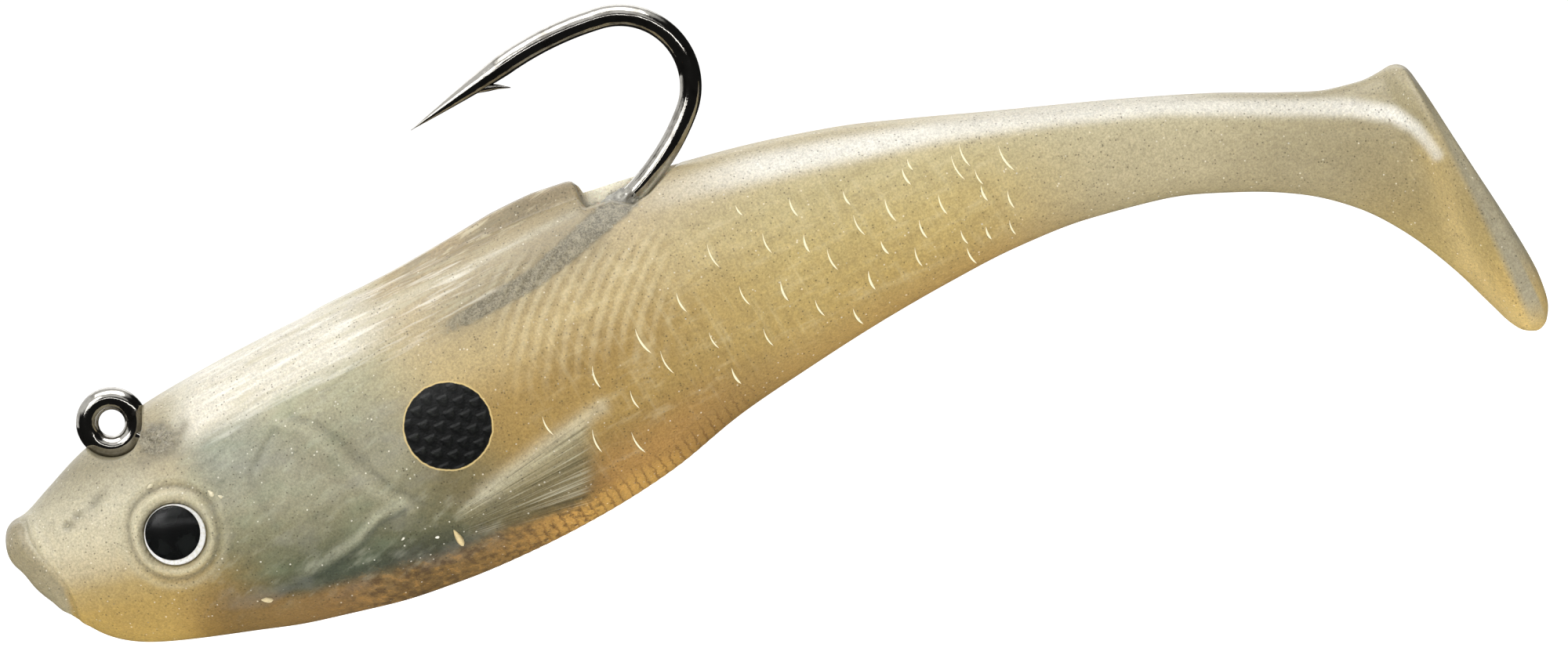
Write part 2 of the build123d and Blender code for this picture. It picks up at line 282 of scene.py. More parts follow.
def soft_min(a, b, reach):
    """The smaller of a and b, rounded where they cross."""
    h = np.clip(0.5 + 0.5 * (b - a) / reach, 0, 1)
    return b * (1 - h) + a * h - reach * h * (1 - h)


def fair_curve(u, keys, values):
    """A cubic through the keys that never overshoots them, for each column."""
    step = np.diff(keys)[:, None]
    slope = np.diff(values, axis=0) / step
    same = slope[1:] * slope[:-1] > 0
    mean = np.where(same, 2 * slope[1:] * slope[:-1] / np.where(same, slope[1:] + slope[:-1], 1), 0)
    tangent = np.vstack([slope[:1], mean, slope[-1:]])
    i = np.clip(np.searchsorted(keys, u, side="right") - 1, 0, len(keys) - 2)
    h = step[i]
    t = ((u - keys[i]) / h[:, 0])[:, None]
    return (
        values[i] * (1 + 2 * t) * (1 - t) ** 2
        + values[i + 1] * t * t * (3 - 2 * t)
        + h * t * (1 - t) * ((1 - t) * tangent[i] - t * tangent[i + 1])
    )


def path_distance(x, z, points):
    """Each point's distance in the XZ plane from a line through points."""
    best = np.full(x.shape, 1e9)
    for (ax, az), (bx, bz) in zip(points[:-1], points[1:]):
        dx, dz = bx - ax, bz - az
        t = np.clip(((x - ax) * dx + (z - az) * dz) / (dx * dx + dz * dz), 0, 1)
        best = np.minimum(best, np.hypot(x - ax - t * dx, z - az - t * dz))
    return best


def near_line(u, v, line, width):
    """1 on a line through points, fading away from it."""
    return hump(0, width, path_distance(u, v, line))


def near_place(u, v, place, size, squeeze=1):
    """1 at a place, fading round it, and further along the lure when squeezed."""
    return hump(0, size, np.hypot((u - place[0]) * squeeze, v - place[1]))


def wire_path(step=0.25):
    """The hook's centre line from ring to point, and its last heading."""
    angle = math.radians(NECK_ANGLE)
    x, z = RING_R * math.cos(angle), RING_R * math.sin(angle)
    runs = [(None, NECK_REACH - RING_R), (NECK_BEND_R, SHANK_ANGLE - NECK_ANGLE), (None, SHANK_LENGTH)]
    points = [(x, z)]
    for radius, amount in runs + HOOK_ARCS:
        turn = math.radians(amount) if radius else 0
        length = radius * turn if radius else amount
        count = max(2, round(length / step))
        for _ in range(count):
            angle += turn / count / 2
            x += math.cos(angle) * length / count
            z += math.sin(angle) * length / count
            angle += turn / count / 2
            points.append((x, z))
    return points, angle


WIRE, POINT_HEADING = wire_path()
COLLAR = [p for p in WIRE if p[0] < COLLAR_END + 0.4 and p[1] < 8]


# ---------------- skin grid
def rib_rows():
    """Rows of smoothed and evenly spaced ribs, and the row of each seam."""
    reach = np.abs(np.diff(RIBS, axis=0)).max(axis=1)
    length = np.concatenate([[0], np.cumsum(reach)])
    fine_step = 0.05
    fine = fair_curve(np.arange(0, length[-1], fine_step), length, RIBS)
    sigma = round(SMOOTHING / fine_step)
    kernel = hump(0, sigma, np.arange(-3 * sigma, 3 * sigma + 1))
    kernel /= kernel.sum()
    padded = np.pad(fine, ((3 * sigma, 3 * sigma), (0, 0)), mode="edge")
    smoothed = np.stack([np.convolve(column, kernel, "valid") for column in padded.T], axis=1)
    keep = band(fine[:, :1], -6, -2, 80, 84)
    fine = fine * (1 - keep) + smoothed * keep

    walked = np.concatenate([[0], np.cumsum(np.abs(np.diff(fine, axis=0))[:, :4].mean(axis=1) * 2)])
    order = np.argsort(fine[:, 0])
    stops = [0, *np.interp(SEAMS, fine[order, 0], walked[order]), walked[-1]]
    places, ends = [], []
    for a, b in zip(stops[:-1], stops[1:]):
        count = max(2, round((b - a) / ROW_STEP))
        places.extend(np.linspace(a, b, count, endpoint=False))
        ends.append(len(places))
    places.append(stops[-1])
    rows = np.stack([np.interp(places, walked, column) for column in fine.T], axis=1)
    return rows, ends[:-1]


def column_angles():
    """Angles round a rib from the back, closer together there."""
    fine = np.linspace(0, 2 * np.pi, 4001)
    density = 1 + 1.1 * (hump(0, 0.45, fine) + hump(2 * np.pi, 0.45, fine))
    walked = np.concatenate([[0], np.cumsum((density[1:] + density[:-1]) / 2)])
    return np.interp(np.arange(COLUMNS) / COLUMNS * walked[-1], walked, fine)


def plain_body(rows, angles):
    """The smooth body's points, and each one's share of the height from belly to back."""
    back, belly, half = rows[:, None, 0:2], rows[:, None, 2:4], rows[:, 4:5]
    middle_x = (rows[:, 0:1] + rows[:, 2:3]) / 2
    fullness = 2 + 0.32 * band(middle_x, -2, 12, 60, 80)
    c, s = np.cos(angles)[None, :], np.sin(angles)[None, :]
    up = np.sign(c) * np.abs(c) ** (2 / fullness)
    out = np.sign(s) * np.abs(s) ** (2 / fullness)
    lean = -0.06 * band(middle_x, -4, 10, 50, 70)
    flat = (back + belly) / 2 + (back - belly) / 2 * up[..., None]
    y = half * out * (1 + lean * up)
    return np.stack([flat[..., 0], y, flat[..., 1]], axis=-1), (up + 1) / 2


def grid_normals(points):
    """The outward unit normal at each grid point."""
    down_rows = np.gradient(points, axis=0)
    round_rib = np.roll(points, -1, axis=1) - np.roll(points, 1, axis=1)
    normal = np.cross(down_rows, round_rib)
    size = np.linalg.norm(normal, axis=-1, keepdims=True)
    return normal / np.maximum(size, 1e-9)


def cut_back(points):
    """Raises the dorsal ridge, and opens the hook slot and the notch round the line eye."""
    x, y, z = points[..., 0], points[..., 1], points[..., 2]
    top = z > -4
    end = np.sqrt(1 - np.clip((x - RIDGE_END + RIDGE_END_R) / RIDGE_END_R, 0, 1) ** 2)
    crest = along(x, RIDGE_RISE) * end * smooth(13, 15, x)
    on_ridge = smooth(RIDGE_HALF_WIDTH + 0.3, RIDGE_HALF_WIDTH - 0.3, np.abs(y))
    z = z + np.where(top, crest * on_ridge, 0)

    inside = band(x, RIDGE_END - 0.35, RIDGE_END + 0.05, 40.2, 41)
    floor = along(x, SLOT_FLOOR)
    right_wall = ABOVE_BACK * smooth(SLOT_HALF_WIDTH - 0.12, SLOT_HALF_WIDTH + 0.2, y)
    left_wall = smooth(SLOT_HALF_WIDTH - 0.15, SLOT_HALF_WIDTH + 0.2, -y)
    left_wall = left_wall * (along(x, SLOT_LEFT_LIP) - floor)
    slot = soft_min(z, floor + right_wall + left_wall, 0.25)
    z = np.where(top, z * (1 - inside) + slot * inside, z)

    sides = NOTCH_HEIGHT * smooth(LINE_NOTCH_R - 0.06, LINE_NOTCH_R + 0.5, np.abs(x))
    notch = sides - np.sqrt(np.clip(LINE_NOTCH_R**2 - x**2, 0, None))
    z = np.where(top & (np.abs(x) < 5), soft_min(z, notch, 0.22), z)
    return np.stack([x, y, z], axis=-1)


# ---------------- masks that shape and colour share
def flank_mask(y):
    """1 on the flanks and 0 along the back and belly."""
    return smooth(0.6, 1.6, np.abs(y))


def above_belly(u, v):
    """The height above the belly's edge."""
    return v - along(u, BELLY_EDGE)


def above_brow(u, v):
    """The height above the line where the grey head meets the pale brow, a painted highlight."""
    return v - (0.25 * u - 3)


def above_ridge(u, v):
    """The height above the foot of the dorsal ridge."""
    return v - (0.29 * u - 1.75)


def lip_mask(u, v):
    """1 on the lips and 0 further back."""
    return smooth(-5, -5.6, u + 0.3 * (v + 9))


def stain_mask(u, v):
    """1 on the lead that shows beside the ring."""
    return near_place(u, v, STAIN, 1, 0.85)


def eye_place(x, z):
    """Each point's distance from the eye's centre, and 0 below the eye to 1 above it."""
    return np.hypot(x - EYE[0], z - EYE[1]), smooth(-0.5, 2.5, z - EYE[1])


def fin_polar(u, v):
    """Angle in degrees and distance of each point from the pectoral fin's root."""
    du, dv = u - FIN_ROOT[0], v - FIN_ROOT[1]
    return np.degrees(np.arctan2(dv, du)), np.hypot(du, dv)


def fin_mask(u, v, soft):
    """1 on the pectoral fin and 0 off it."""
    angle, reach = fin_polar(u, v)
    first, last = FIN_ANGLES
    tip = FIN_REACH[1] + 0.12 * (angle - 14)
    across = band(angle, first - soft, first + soft, last - soft, last + soft)
    return across * band(reach, FIN_REACH[0], FIN_REACH[0] + 2, tip - 0.5 * soft, tip + 0.5 * soft)


def muscle_mask(u, v):
    """1 over the muscle streaks on the shoulder and 0 elsewhere."""
    return band(u, 24.5, 27.5, 35.5, 39) * band(v, -5.5, -2, 3, 5.5)


def muscle_phase(u, v):
    """The phase of the muscle streaks, which climb steeply and curve towards the tail."""
    return (u - v * 0.6 - v * v * 0.045) * (2 * math.pi / MUSCLE_GAP)


# ---------------- relief
def relief(x, y, z, share, rim):
    """How far each point of the skin stands out, in millimetres."""
    u, v = drawn(x, y, z)
    rise = lip_relief(u, v) + eye_relief(x, z) + cheek_relief(u, v) + fin_relief(u, v)
    rise += 0.012 * muscle_mask(u, v) * np.cos(muscle_phase(u, v))
    rise += scale_relief(u, v, share)
    rise += 0.16 * hump(0.35, 0.2, rim) - 0.1 * hump(0.75, 0.2, rim)
    mouth = -0.5 * hump(0, 1.6, y) * hump(-8.3, 0.9, z) * smooth(-5.6, -7.2, x)
    stain = stain_relief(u, v) * smooth(0.3, 0.8, np.abs(y))
    return rise * flank_mask(y) + mouth + stain + tick_relief(u, v)


def lip_relief(u, v):
    """The groove behind the lips, their swell and the nostril pits."""
    to_lip = path_distance(u, v, LIP_LINE)
    front = smooth(-4, -5, u)
    rise = front * (0.15 * hump(0.62, 0.42, to_lip) * lip_mask(u, v) - 0.24 * hump(0, 0.17, to_lip))
    for mid_u, mid_v, size, height in DIMPLES:
        rise += height * near_place(u, v, (mid_u, mid_v), size)
    return rise


def eye_relief(x, z):
    """The eye's seat, and the lid, crease and low swell round it."""
    away, lid = eye_place(x, z)
    rise = -0.75 * smooth(IRIS_R + 0.3, IRIS_R + 0.02, away)
    rise += (0.2 + 0.12 * lid) * hump(2.42 + 0.15 * lid, 0.24 + 0.1 * lid, away)
    rise -= 0.14 * hump(2.86 + 0.3 * lid, 0.16, away)
    return rise + 0.08 * hump(3.4 + 0.3 * lid, 0.3, away)


def cheek_relief(u, v):
    """Edges and grooves of the gill cover and the jaw, and the cheek's crease."""
    rise = 0.1 * near_line(u + 0.6, v, GILL_LINE, 0.6) - 0.1 * near_line(u - 0.5, v - 0.1, GILL_LINE, 0.22)
    rise -= 0.06 * near_line(u, v, CHEEK_LINE, 0.25)
    return rise + 0.09 * near_line(u, v - 0.4, JAW_LINE, 0.35) - 0.13 * near_line(u, v, JAW_LINE, 0.2)


def stain_relief(u, v):
    """The knobbly lump over the lead beside the ring."""
    knobs = np.cos(8.5 * u + 2.5 * np.sin(4 * v)) * np.cos(8 * v - 2 * np.sin(5 * u))
    return (0.15 + 0.12 * knobs) * stain_mask(u, v)


def fin_relief(u, v):
    """The pectoral fin, folded along its rays and higher towards its tip."""
    angle, reach = fin_polar(u, v)
    folds = np.cos((angle - FIN_ANGLES[0]) * 2 * np.pi / FIN_FOLD)
    return fin_mask(u, v, 1) * (0.17 * smooth(*FIN_REACH, reach) + 0.035 * folds)


def scale_relief(u, v, share):
    """Two crossing waves that stand for the scales behind the fin."""
    scaled = band(u, 24, 30, 60, 66) * band(share, 0.06, 0.16, 0.8, 0.9) * (1 - fin_mask(u, v, 1))
    lengthwise = np.cos((v - u * 0.24) * 2 * np.pi / 1.7)
    steep = np.cos((u + v * 0.32) * 2 * np.pi / 1.3)
    return 0.008 * scaled * (lengthwise + steep)


def tick_relief(u, v):
    """The small notches along the belly's edge."""
    ticks = hump(0.5, 0.45, above_belly(u, v)) * band(u, 21, 23, 36, 40)
    return 0.03 * ticks * np.cos((u + 0.35 * v) * 2 * np.pi / TICK_GAP)


# ---------------- skin colours
def ramp(value, *stops):
    """The colour at a value between stops, each a place and a colour code."""
    places = [place for place, _ in stops]
    colours = np.array([linear(code) for _, code in stops])
    return np.stack([np.interp(value, places, colours[:, k]) for k in range(3)], axis=-1)


def mixed(a, b, share):
    """Colour a with a share of b in it. b is a code or a colour for each point."""
    b = linear(b) if isinstance(b, str) else b
    return a * (1 - share[..., None]) + b * share[..., None]


def paint(x, y, z, share, rim):
    """The skin's broad colours at each point."""
    u, v = drawn(x, y, z)
    c = trunk_colours(u, v, share, rim)
    c = head_colours(c, u, v)
    c = foil_colours(c, u, v)
    c = cheek_light_and_shade(c, u, v)
    c = eye_light_and_shade(c, x, z)
    c = belly_colours(c, u, v)
    c = fin_colours(c, u, v)
    c = back_colours(c, u, v, y)
    c = back_highlight_and_shade(c, u, v, rim)
    # Painted light in the hook slot: its walls are painted pale cream and left out of the darkening for the
    # back's extra light.
    wall = band(x, 32.6, 33.6, 39, 41) * smooth(2, 4, z)
    wall = wall * smooth(SLOT_HALF_WIDTH + 0.25, SLOT_HALF_WIDTH + 0.02, np.abs(y))
    return mixed(c, "fbf4de", wall) * np.maximum(brightness(share), wall)[..., None]


def brightness(share):
    """Makes up for the extra light that the back catches."""
    return np.interp(share, [0, 0.2, 0.5, 0.8, 1], [0.92, 0.9, 0.87, 0.78, 0.64])


def trunk_colours(u, v, share, rim):
    """The plastic's colour from shoulder to paddle, darker below, partly its own colour and partly painted
    shade.
    """
    front = ramp(share, (0, "785826"), (0.12, "8c6a34"), (0.3, "aa8b48"), (0.5, "aa8c4e"),
                 (0.66, "c7b17e"), (0.85, "c4b28b"))
    rear = ramp(share, (0, "a38347"), (0.22, "b99e5a"), (0.5, "c3ae72"), (0.75, "c6b787"), (0.9, "cabb93"))
    stem = ramp(share, (0, "978a66"), (0.25, "b8ab86"), (0.55, "bfb38f"), (0.8, "c4b995"), (1, "bdb08c"))
    foot = ramp(v, (-14.5, "cbad66"), (-12, "c1a45f"), (-9, "b19b60"), (-5.5, "a59260"),
                (-1, "ac9e77"), (2, "bcb08c"))
    c = mixed(front, rear, smooth(32, 48, u))
    c = mixed(c, stem, smooth(56, 68, u))
    c = mixed(c, foot, smooth(78, 84, u))
    # A painted highlight down the paddle inside its rim.
    c = mixed(c, "d1b87c", 0.6 * near_line(u, v, PADDLE_HIGHLIGHT_LINE, 0.9))
    c = mixed(c, "aba287", smooth(0.25, 0.6, rim) * smooth(-15.6, -12.6, v))
    return mixed(c, "c3a96c", smooth(0.9, 1, rim) * smooth(-9, -13.5, v))


def head_colours(c, u, v):
    """The head from amber to grey, the brown lips and the darker marks at the nostril."""
    head = ramp(v, (-15, "b2934a"), (-12, "b1944f"), (-10.5, "b49c63"), (-9.2, "c5b691"),
                (-7.5, "d0c6a8"), (-5, "cbc3a8"), (-2.5, "a69d80"), (0, "c0b79a"))
    c = mixed(c, head, smooth(5, 0, u))
    edge = np.interp(v, [p[1] for p in LIP_LINE[::-1]], [p[0] for p in LIP_LINE[::-1]])
    outside = smooth(0.12, -0.12, u - edge) * smooth(0, 0.25, path_distance(u, v, LIP_LINE))
    c = mixed(c, "a09576", lip_mask(u, v) * outside)
    for spot_u, spot_v, long, wide in NOSTRIL_DARK_MARKS:
        ahead = (u - spot_u) * 0.8 + (v - spot_v) * 0.6
        beside = (v - spot_v) * 0.8 - (u - spot_u) * 0.6
        c = mixed(c, "7f7a66", 0.55 * hump(0, long, np.hypot(ahead, beside * long / wide)))
    return c


def foil_colours(c, u, v):
    """The green-grey foil under cheek and shoulder, with lighter and darker places."""
    foil = ramp(above_belly(u, v), (0, "665c38"), (2.2, "575841"), (3.8, "666849"), (6.5, "8d896a"),
                (9, "a5a187"), (12, "9c9981"), (14.5, "b0ac8d"))
    foil = mixed(foil, "7a704b", 0.85 * near_place(u, v, (21.5, -8.8), 3.6))
    zone = smooth(1.5, 6, u) * smooth(24.5, 17, u + 0.55 * (v + 6))
    throat = smooth(9, 4.5, u) * smooth(-9, -12.5, v)
    c = mixed(c, foil, zone * (1 - 0.65 * throat))
    c = mixed(c, "8d9a94", 0.35 * near_place(u, v, (6.8, -3.2), 2.6, 0.8))
    c = mixed(c, "7d765c", 0.6 * near_place(u, v, (14, -5.2), 2))
    c = mixed(c, "6f6848", 0.6 * near_place(u, v, (21.8, -8.6), 2.6))
    c = mixed(c, "54553c", 0.55 * near_place(u, v, (13.8, -12), 1.8))
    return mixed(c, "b5b090", 0.6 * near_place(u, v, (13.5, -1.2), 3, 0.55))


def cheek_light_and_shade(c, u, v):
    """Painted shade in the creases and painted highlights on the raised edges along the gill cover, the
    cheek and the jaw.
    """
    c = mixed(c, "6f6d58", 0.45 * near_line(u - 0.45, v - 0.1, GILL_LINE, 0.24))
    c = mixed(c, "c9c6ac", 0.25 * near_line(u + 0.55, v, GILL_LINE, 0.4))
    c = mixed(c, "6f6f5e", 0.32 * near_line(u, v, CHEEK_LINE, 0.28))
    c = mixed(c, "4d5140", 0.6 * near_line(u, v, JAW_LINE, 0.24) * (u > 8))
    return mixed(c, "c3c2a8", 0.5 * near_line(u, v - 0.6, JAW_LINE, 0.35) * smooth(9, 11, u))


def eye_light_and_shade(c, x, z):
    """Painted light and shade round the eye: pale painted highlights on the lid and the low swell, painted
    shade in the crease and, on one side, at the seat's wall.
    """
    away, lid = eye_place(x, z)
    shaded = smooth(0.8, -0.6, x - EYE[0] - (z - EYE[1]))
    c = mixed(c, "cbc4a6", 0.75 * hump(2.4 + 0.15 * lid, 0.3 + 0.1 * lid, away))
    c = mixed(c, "857d62", 0.6 * hump(2.86 + 0.3 * lid, 0.14, away))
    c = mixed(c, "6e6750", 0.7 * hump(2.1, 0.12, away) * shaded)
    return mixed(c, "c2bb9d", 0.4 * hump(3.35 + 0.3 * lid, 0.28, away))


def belly_colours(c, u, v):
    """Painted shadow under the jaw, deeper near its rear end, and the amber belly."""
    # Painted shadow under the jaw.
    jaw_shadow_share = band(u, 8, 12, 20, 24) * hump(0, 1.25, v - along(u, JAW_SHADOW))
    c = mixed(c, "414a3c", 0.65 * jaw_shadow_share)
    # A deeper painted shadow at the rear end of the jaw's shadow.
    c = mixed(c, "45402c", 0.5 * near_place(u, v, (18, -13.3), 1.4, 0.6))
    under = smooth(0.7, -0.25, v - along(u, AMBER_TOP))
    amber = ramp(u, (0, "a98735"), (5, "836836"), (12, "88693a"), (18, "735a30"), (24, "8c6c38"),
                 (28, "bd9146"), (34, "bd9748"), (40, "aa8038"))
    return mixed(c, amber, under * band(u, 1, 7, 33, 38))


def fin_colours(c, u, v):
    """The pectoral fin, its pale upper edge and the amber behind it."""
    rays = ramp(fin_polar(u, v)[0], (2, "695d3a"), (9, "716947"), (15, "867e5c"), (22, "aea684"))
    c = mixed(c, rays, 0.82 * fin_mask(u, v, 2))
    c = mixed(c, "cfc8ae", 0.5 * near_line(u, v, [(22.5, -9.9), (27, -7.8), (31.3, -6.2)], 0.55))
    behind = band(u, 29.5, 31.5, 34, 42) * smooth(5, 2, above_belly(u, v))
    return mixed(c, "b98d46", 0.6 * behind)


def back_colours(c, u, v, y):
    """The brow's painted highlight, the ridge and its pale foot, a darker line below and behind the ring,
    and painted shade just above the lead's band under the skin.
    """
    inward = smooth(1, 4, np.abs(y))
    # The pale brow is a painted highlight from the light above.
    brow_highlight = smooth(-1.4, 0.5, above_brow(u, v))
    brow_highlight = brow_highlight * smooth(1.5 + 1.5 * inward, 7 - 1.5 * inward, u)
    brow_highlight = brow_highlight * smooth(25 - 4.5 * inward, 12.5 + 3 * inward, u)
    c = mixed(c, "f3ecda", brow_highlight * 0.96)
    ridge = smooth(-0.4, 0.5, above_ridge(u, v)) * band(u, 17, 20, 33, 34.5)
    c = mixed(c, ramp(u, (18, "c7b285"), (24, "b8a37a"), (29, "a59573"), (33, "b09e7b")), ridge)
    c = mixed(c, "ddd3b6", 0.7 * near_line(u, v, [(17, 3), (24, 4.4), (32.5, 6.6)], 0.3))
    c = mixed(c, "8f876f", 0.65 * near_line(u, v, [(1.2, -3), (3.4, -2.6), (4.6, -1.2)], 0.42))
    # Painted shade just above the lead's band, soft as a shadow of it.
    painted_lead_shade = band(u, 20, 25, 33.5, 35) * near_line(u, v - 0.15, COLLAR, 1.9)
    return mixed(c, "8d8264", 0.6 * painted_lead_shade)


def back_highlight_and_shade(c, u, v, rim):
    """A painted highlight along the back and down the paddle's rim, and painted shade under it at the ankle.
    """
    # Painted shade under the highlight at the ankle.
    c = mixed(c, "978b69", 0.5 * near_place(u, v, (79.5, -0.6), 4.5, 0.8))
    # The painted highlight.
    highlight_distance = path_distance(u, v, BACK_HIGHLIGHT_LINE) / along(u, BACK_HIGHLIGHT_WIDTH)
    highlight_strength = along(u, BACK_HIGHLIGHT_STRENGTH) * smooth(0.7, 0.3, rim)
    return mixed(c, "f6f2e6", highlight_strength * np.exp(-(highlight_distance**3)))


# ---------------- meshes
def add_object(name, data):
    """A new object in the scene."""
    item = bpy.data.objects.new(name, data)
    bpy.context.scene.collection.objects.link(item)
    return item


def smooth_mesh(name, points, faces):
    """A smooth-shaded mesh from points in millimetres."""
    mesh = bpy.data.meshes.new(name)
    mesh.from_pydata((points * MM).tolist(), [], faces)
    mesh.polygons.foreach_set("use_smooth", np.ones(len(faces), bool))
    return mesh


def store(mesh, key, values):
    """Keeps a row of one or three numbers with each vertex."""
    kind, slot = ("FLOAT", "value") if values.shape[1] == 1 else ("FLOAT_VECTOR", "vector")
    mesh.attributes.new(key, kind, "POINT").data.foreach_set(slot, values.ravel())


def ring_quads(rings, around, closed=False):
    """The faces between rings of points. closed joins the last ring to the first."""
    row = np.arange(rings if closed else rings - 1)[:, None]
    column = np.arange(around)[None, :]
    after_row, after = (row + 1) % rings, (column + 1) % around
    corners = ((row, column), (after_row, column), (after_row, after), (row, after))
    return np.stack([r * around + k for r, k in corners], axis=-1).reshape(-1, 4)


def closed_grid(name, points, normals, attributes):
    """An object from closed rings of points with a fan at each end, and exact normals."""
    rings, around = points.shape[:2]
    centres = [points[0].mean(axis=0), points[-1].mean(axis=0)]
    quads = ring_quads(rings, around)
    ring = np.arange(around)
    turned = (ring + 1) % around
    last = (rings - 1) * around
    first_fan = np.stack([np.full(around, rings * around), ring, turned], axis=-1)
    last_fan = np.stack([np.full(around, rings * around + 1), last + turned, last + ring], axis=-1)
    faces = quads.tolist() + first_fan.tolist() + last_fan.tolist()
    mesh = smooth_mesh(name, np.vstack([points.reshape(-1, 3), centres]), faces)
    corners = [normals.reshape(-1, 3)[quads.reshape(-1)]]
    for end, sign in ((0, -1), (-1, 1)):
        across, up = points[end][around // 4] - centres[end], points[end][0] - centres[end]
        outwards = np.cross(across, up)
        outwards *= sign / max(np.linalg.norm(outwards), 1e-9)
        corners.append(np.tile(outwards, (around * 3, 1)))
    mesh.normals_split_custom_set(np.vstack(corners).tolist())
    for key, values in attributes.items():
        values = np.asarray(values, np.float32).reshape(rings * around, -1)
        store(mesh, key, np.vstack([values, values[:around].mean(axis=0), values[-around:].mean(axis=0)]))
    return add_object(name, mesh)


def closed_ring(name, points):
    """An object from rings of points that meet end to end."""
    rings, around = points.shape[:2]
    mesh = smooth_mesh(name, points.reshape(-1, 3), ring_quads(rings, around, closed=True).tolist())
    store(mesh, "rest", points.astype(np.float32).reshape(-1, 3))
    return add_object(name, mesh)


def centre_line(path):
    """The points of a path in the XZ plane as points in space."""
    path = np.array(path, float)
    return np.stack([path[:, 0], np.zeros(len(path)), path[:, 1]], axis=1)


def tube(path, radii_across, radii_up=None, around=48):
    """Rings of points round a path in the XZ plane."""
    radii_up = radii_across if radii_up is None else radii_up
    centre = centre_line(path)
    ahead = np.gradient(centre, axis=0)
    ahead /= np.linalg.norm(ahead, axis=1, keepdims=True)
    across = np.array([0, 1, 0])
    up = np.cross(ahead, across)
    angles = np.linspace(0, 2 * np.pi, around, endpoint=False)
    return (
        centre[:, None]
        + up[:, None] * (np.cos(angles) * np.asarray(radii_up)[:, None])[..., None]
        + across * (np.sin(angles) * np.asarray(radii_across)[:, None])[..., None]
    )


def plain_tube(name, path, radii_across, radii_up=None, around=48):
    """A closed tube as an object."""
    points = tube(path, radii_across, radii_up, around)
    return closed_grid(name, points, grid_normals(points), {"rest": points})


def rough_tube(name, path, radii, around, bumps):
    """A closed tube with lumps, which are shares of its radius."""
    middle = centre_line(path)[:, None]
    points = middle + (tube(path, radii, around=around) - middle) * (1 + bumps[..., None])
    return closed_grid(name, points, grid_normals(points), {"rest": points})


def lathe(name, profile, side, depth, around=96, shift=(0, 0)):
    """A solid turned about the eye's axis from a profile of (radius, height), back to front."""
    mid_x, mid_z = EYE[0] + shift[0], EYE[1] + shift[1]
    rings = [
        [(mid_x + r * math.cos(a), side * (depth + h), mid_z + r * math.sin(a))
         for a in np.linspace(0, 2 * np.pi, around, endpoint=False) * side]
        for r, h in profile
    ]
    points = np.array(rings)
    return closed_grid(name, points, grid_normals(points), {"rest": points})


def joined(name, pieces):
    """One object from several."""
    bpy.ops.object.select_all(action="DESELECT")
    for piece in pieces:
        piece.select_set(True)
    bpy.context.view_layer.objects.active = pieces[0]
    bpy.ops.object.join()
    pieces[0].name = name
    pieces[0].data.name = name
    return pieces[0]


# ---------------- node helpers
def math_node(kind):
    """A method that feeds a Wire and its arguments through a Math node."""
    return lambda wire, *others: wire.math(kind, *others)


class Wire:
    """A value or vector in a node tree, with ordinary arithmetic."""

    def __init__(self, tree, socket):
        self.tree = tree
        self.socket = socket

    def math(self, kind, *others):
        node = self.tree.nodes.new("ShaderNodeMath")
        node.operation = kind
        for slot, value in zip(node.inputs, (self, *others)):
            connect(self.tree, value, slot)
        return Wire(self.tree, node.outputs[0])

    __add__ = __radd__ = math_node("ADD")
    __sub__ = math_node("SUBTRACT")
    __mul__ = __rmul__ = math_node("MULTIPLY")
    __truediv__ = math_node("DIVIDE")
    __abs__ = math_node("ABSOLUTE")
    at_least = math_node("MAXIMUM")
    root = math_node("SQRT")
    floor = math_node("FLOOR")
    cosine = math_node("COSINE")
    arctangent = math_node("ARCTANGENT")

    def __rsub__(self, other):
        return (self * -1) + other

    def step(self, low, high):
        """0 at low, 1 at high, smooth between. low may be above high."""
        if low > high:
            return 1 - self.step(high, low)
        node = add_node(self.tree, "MapRange", Value=self, From_Min=low, From_Max=high)
        node.interpolation_type = "SMOOTHSTEP"
        return Wire(self.tree, node.outputs["Result"])


def connect(tree, value, slot):
    """Feeds a Wire, a colour code or a plain value into a node's input."""
    if isinstance(value, Wire):
        tree.links.new(value.socket, slot)
    else:
        slot.default_value = (*linear(value), 1) if isinstance(value, str) else value


def add_node(tree, kind, **inputs):
    """A new shader node with its named inputs fed. _ stands for a space."""
    node = tree.nodes.new("ShaderNode" + kind)
    for name, value in inputs.items():
        connect(tree, value, node.inputs[name.replace("_", " ")])
    return node


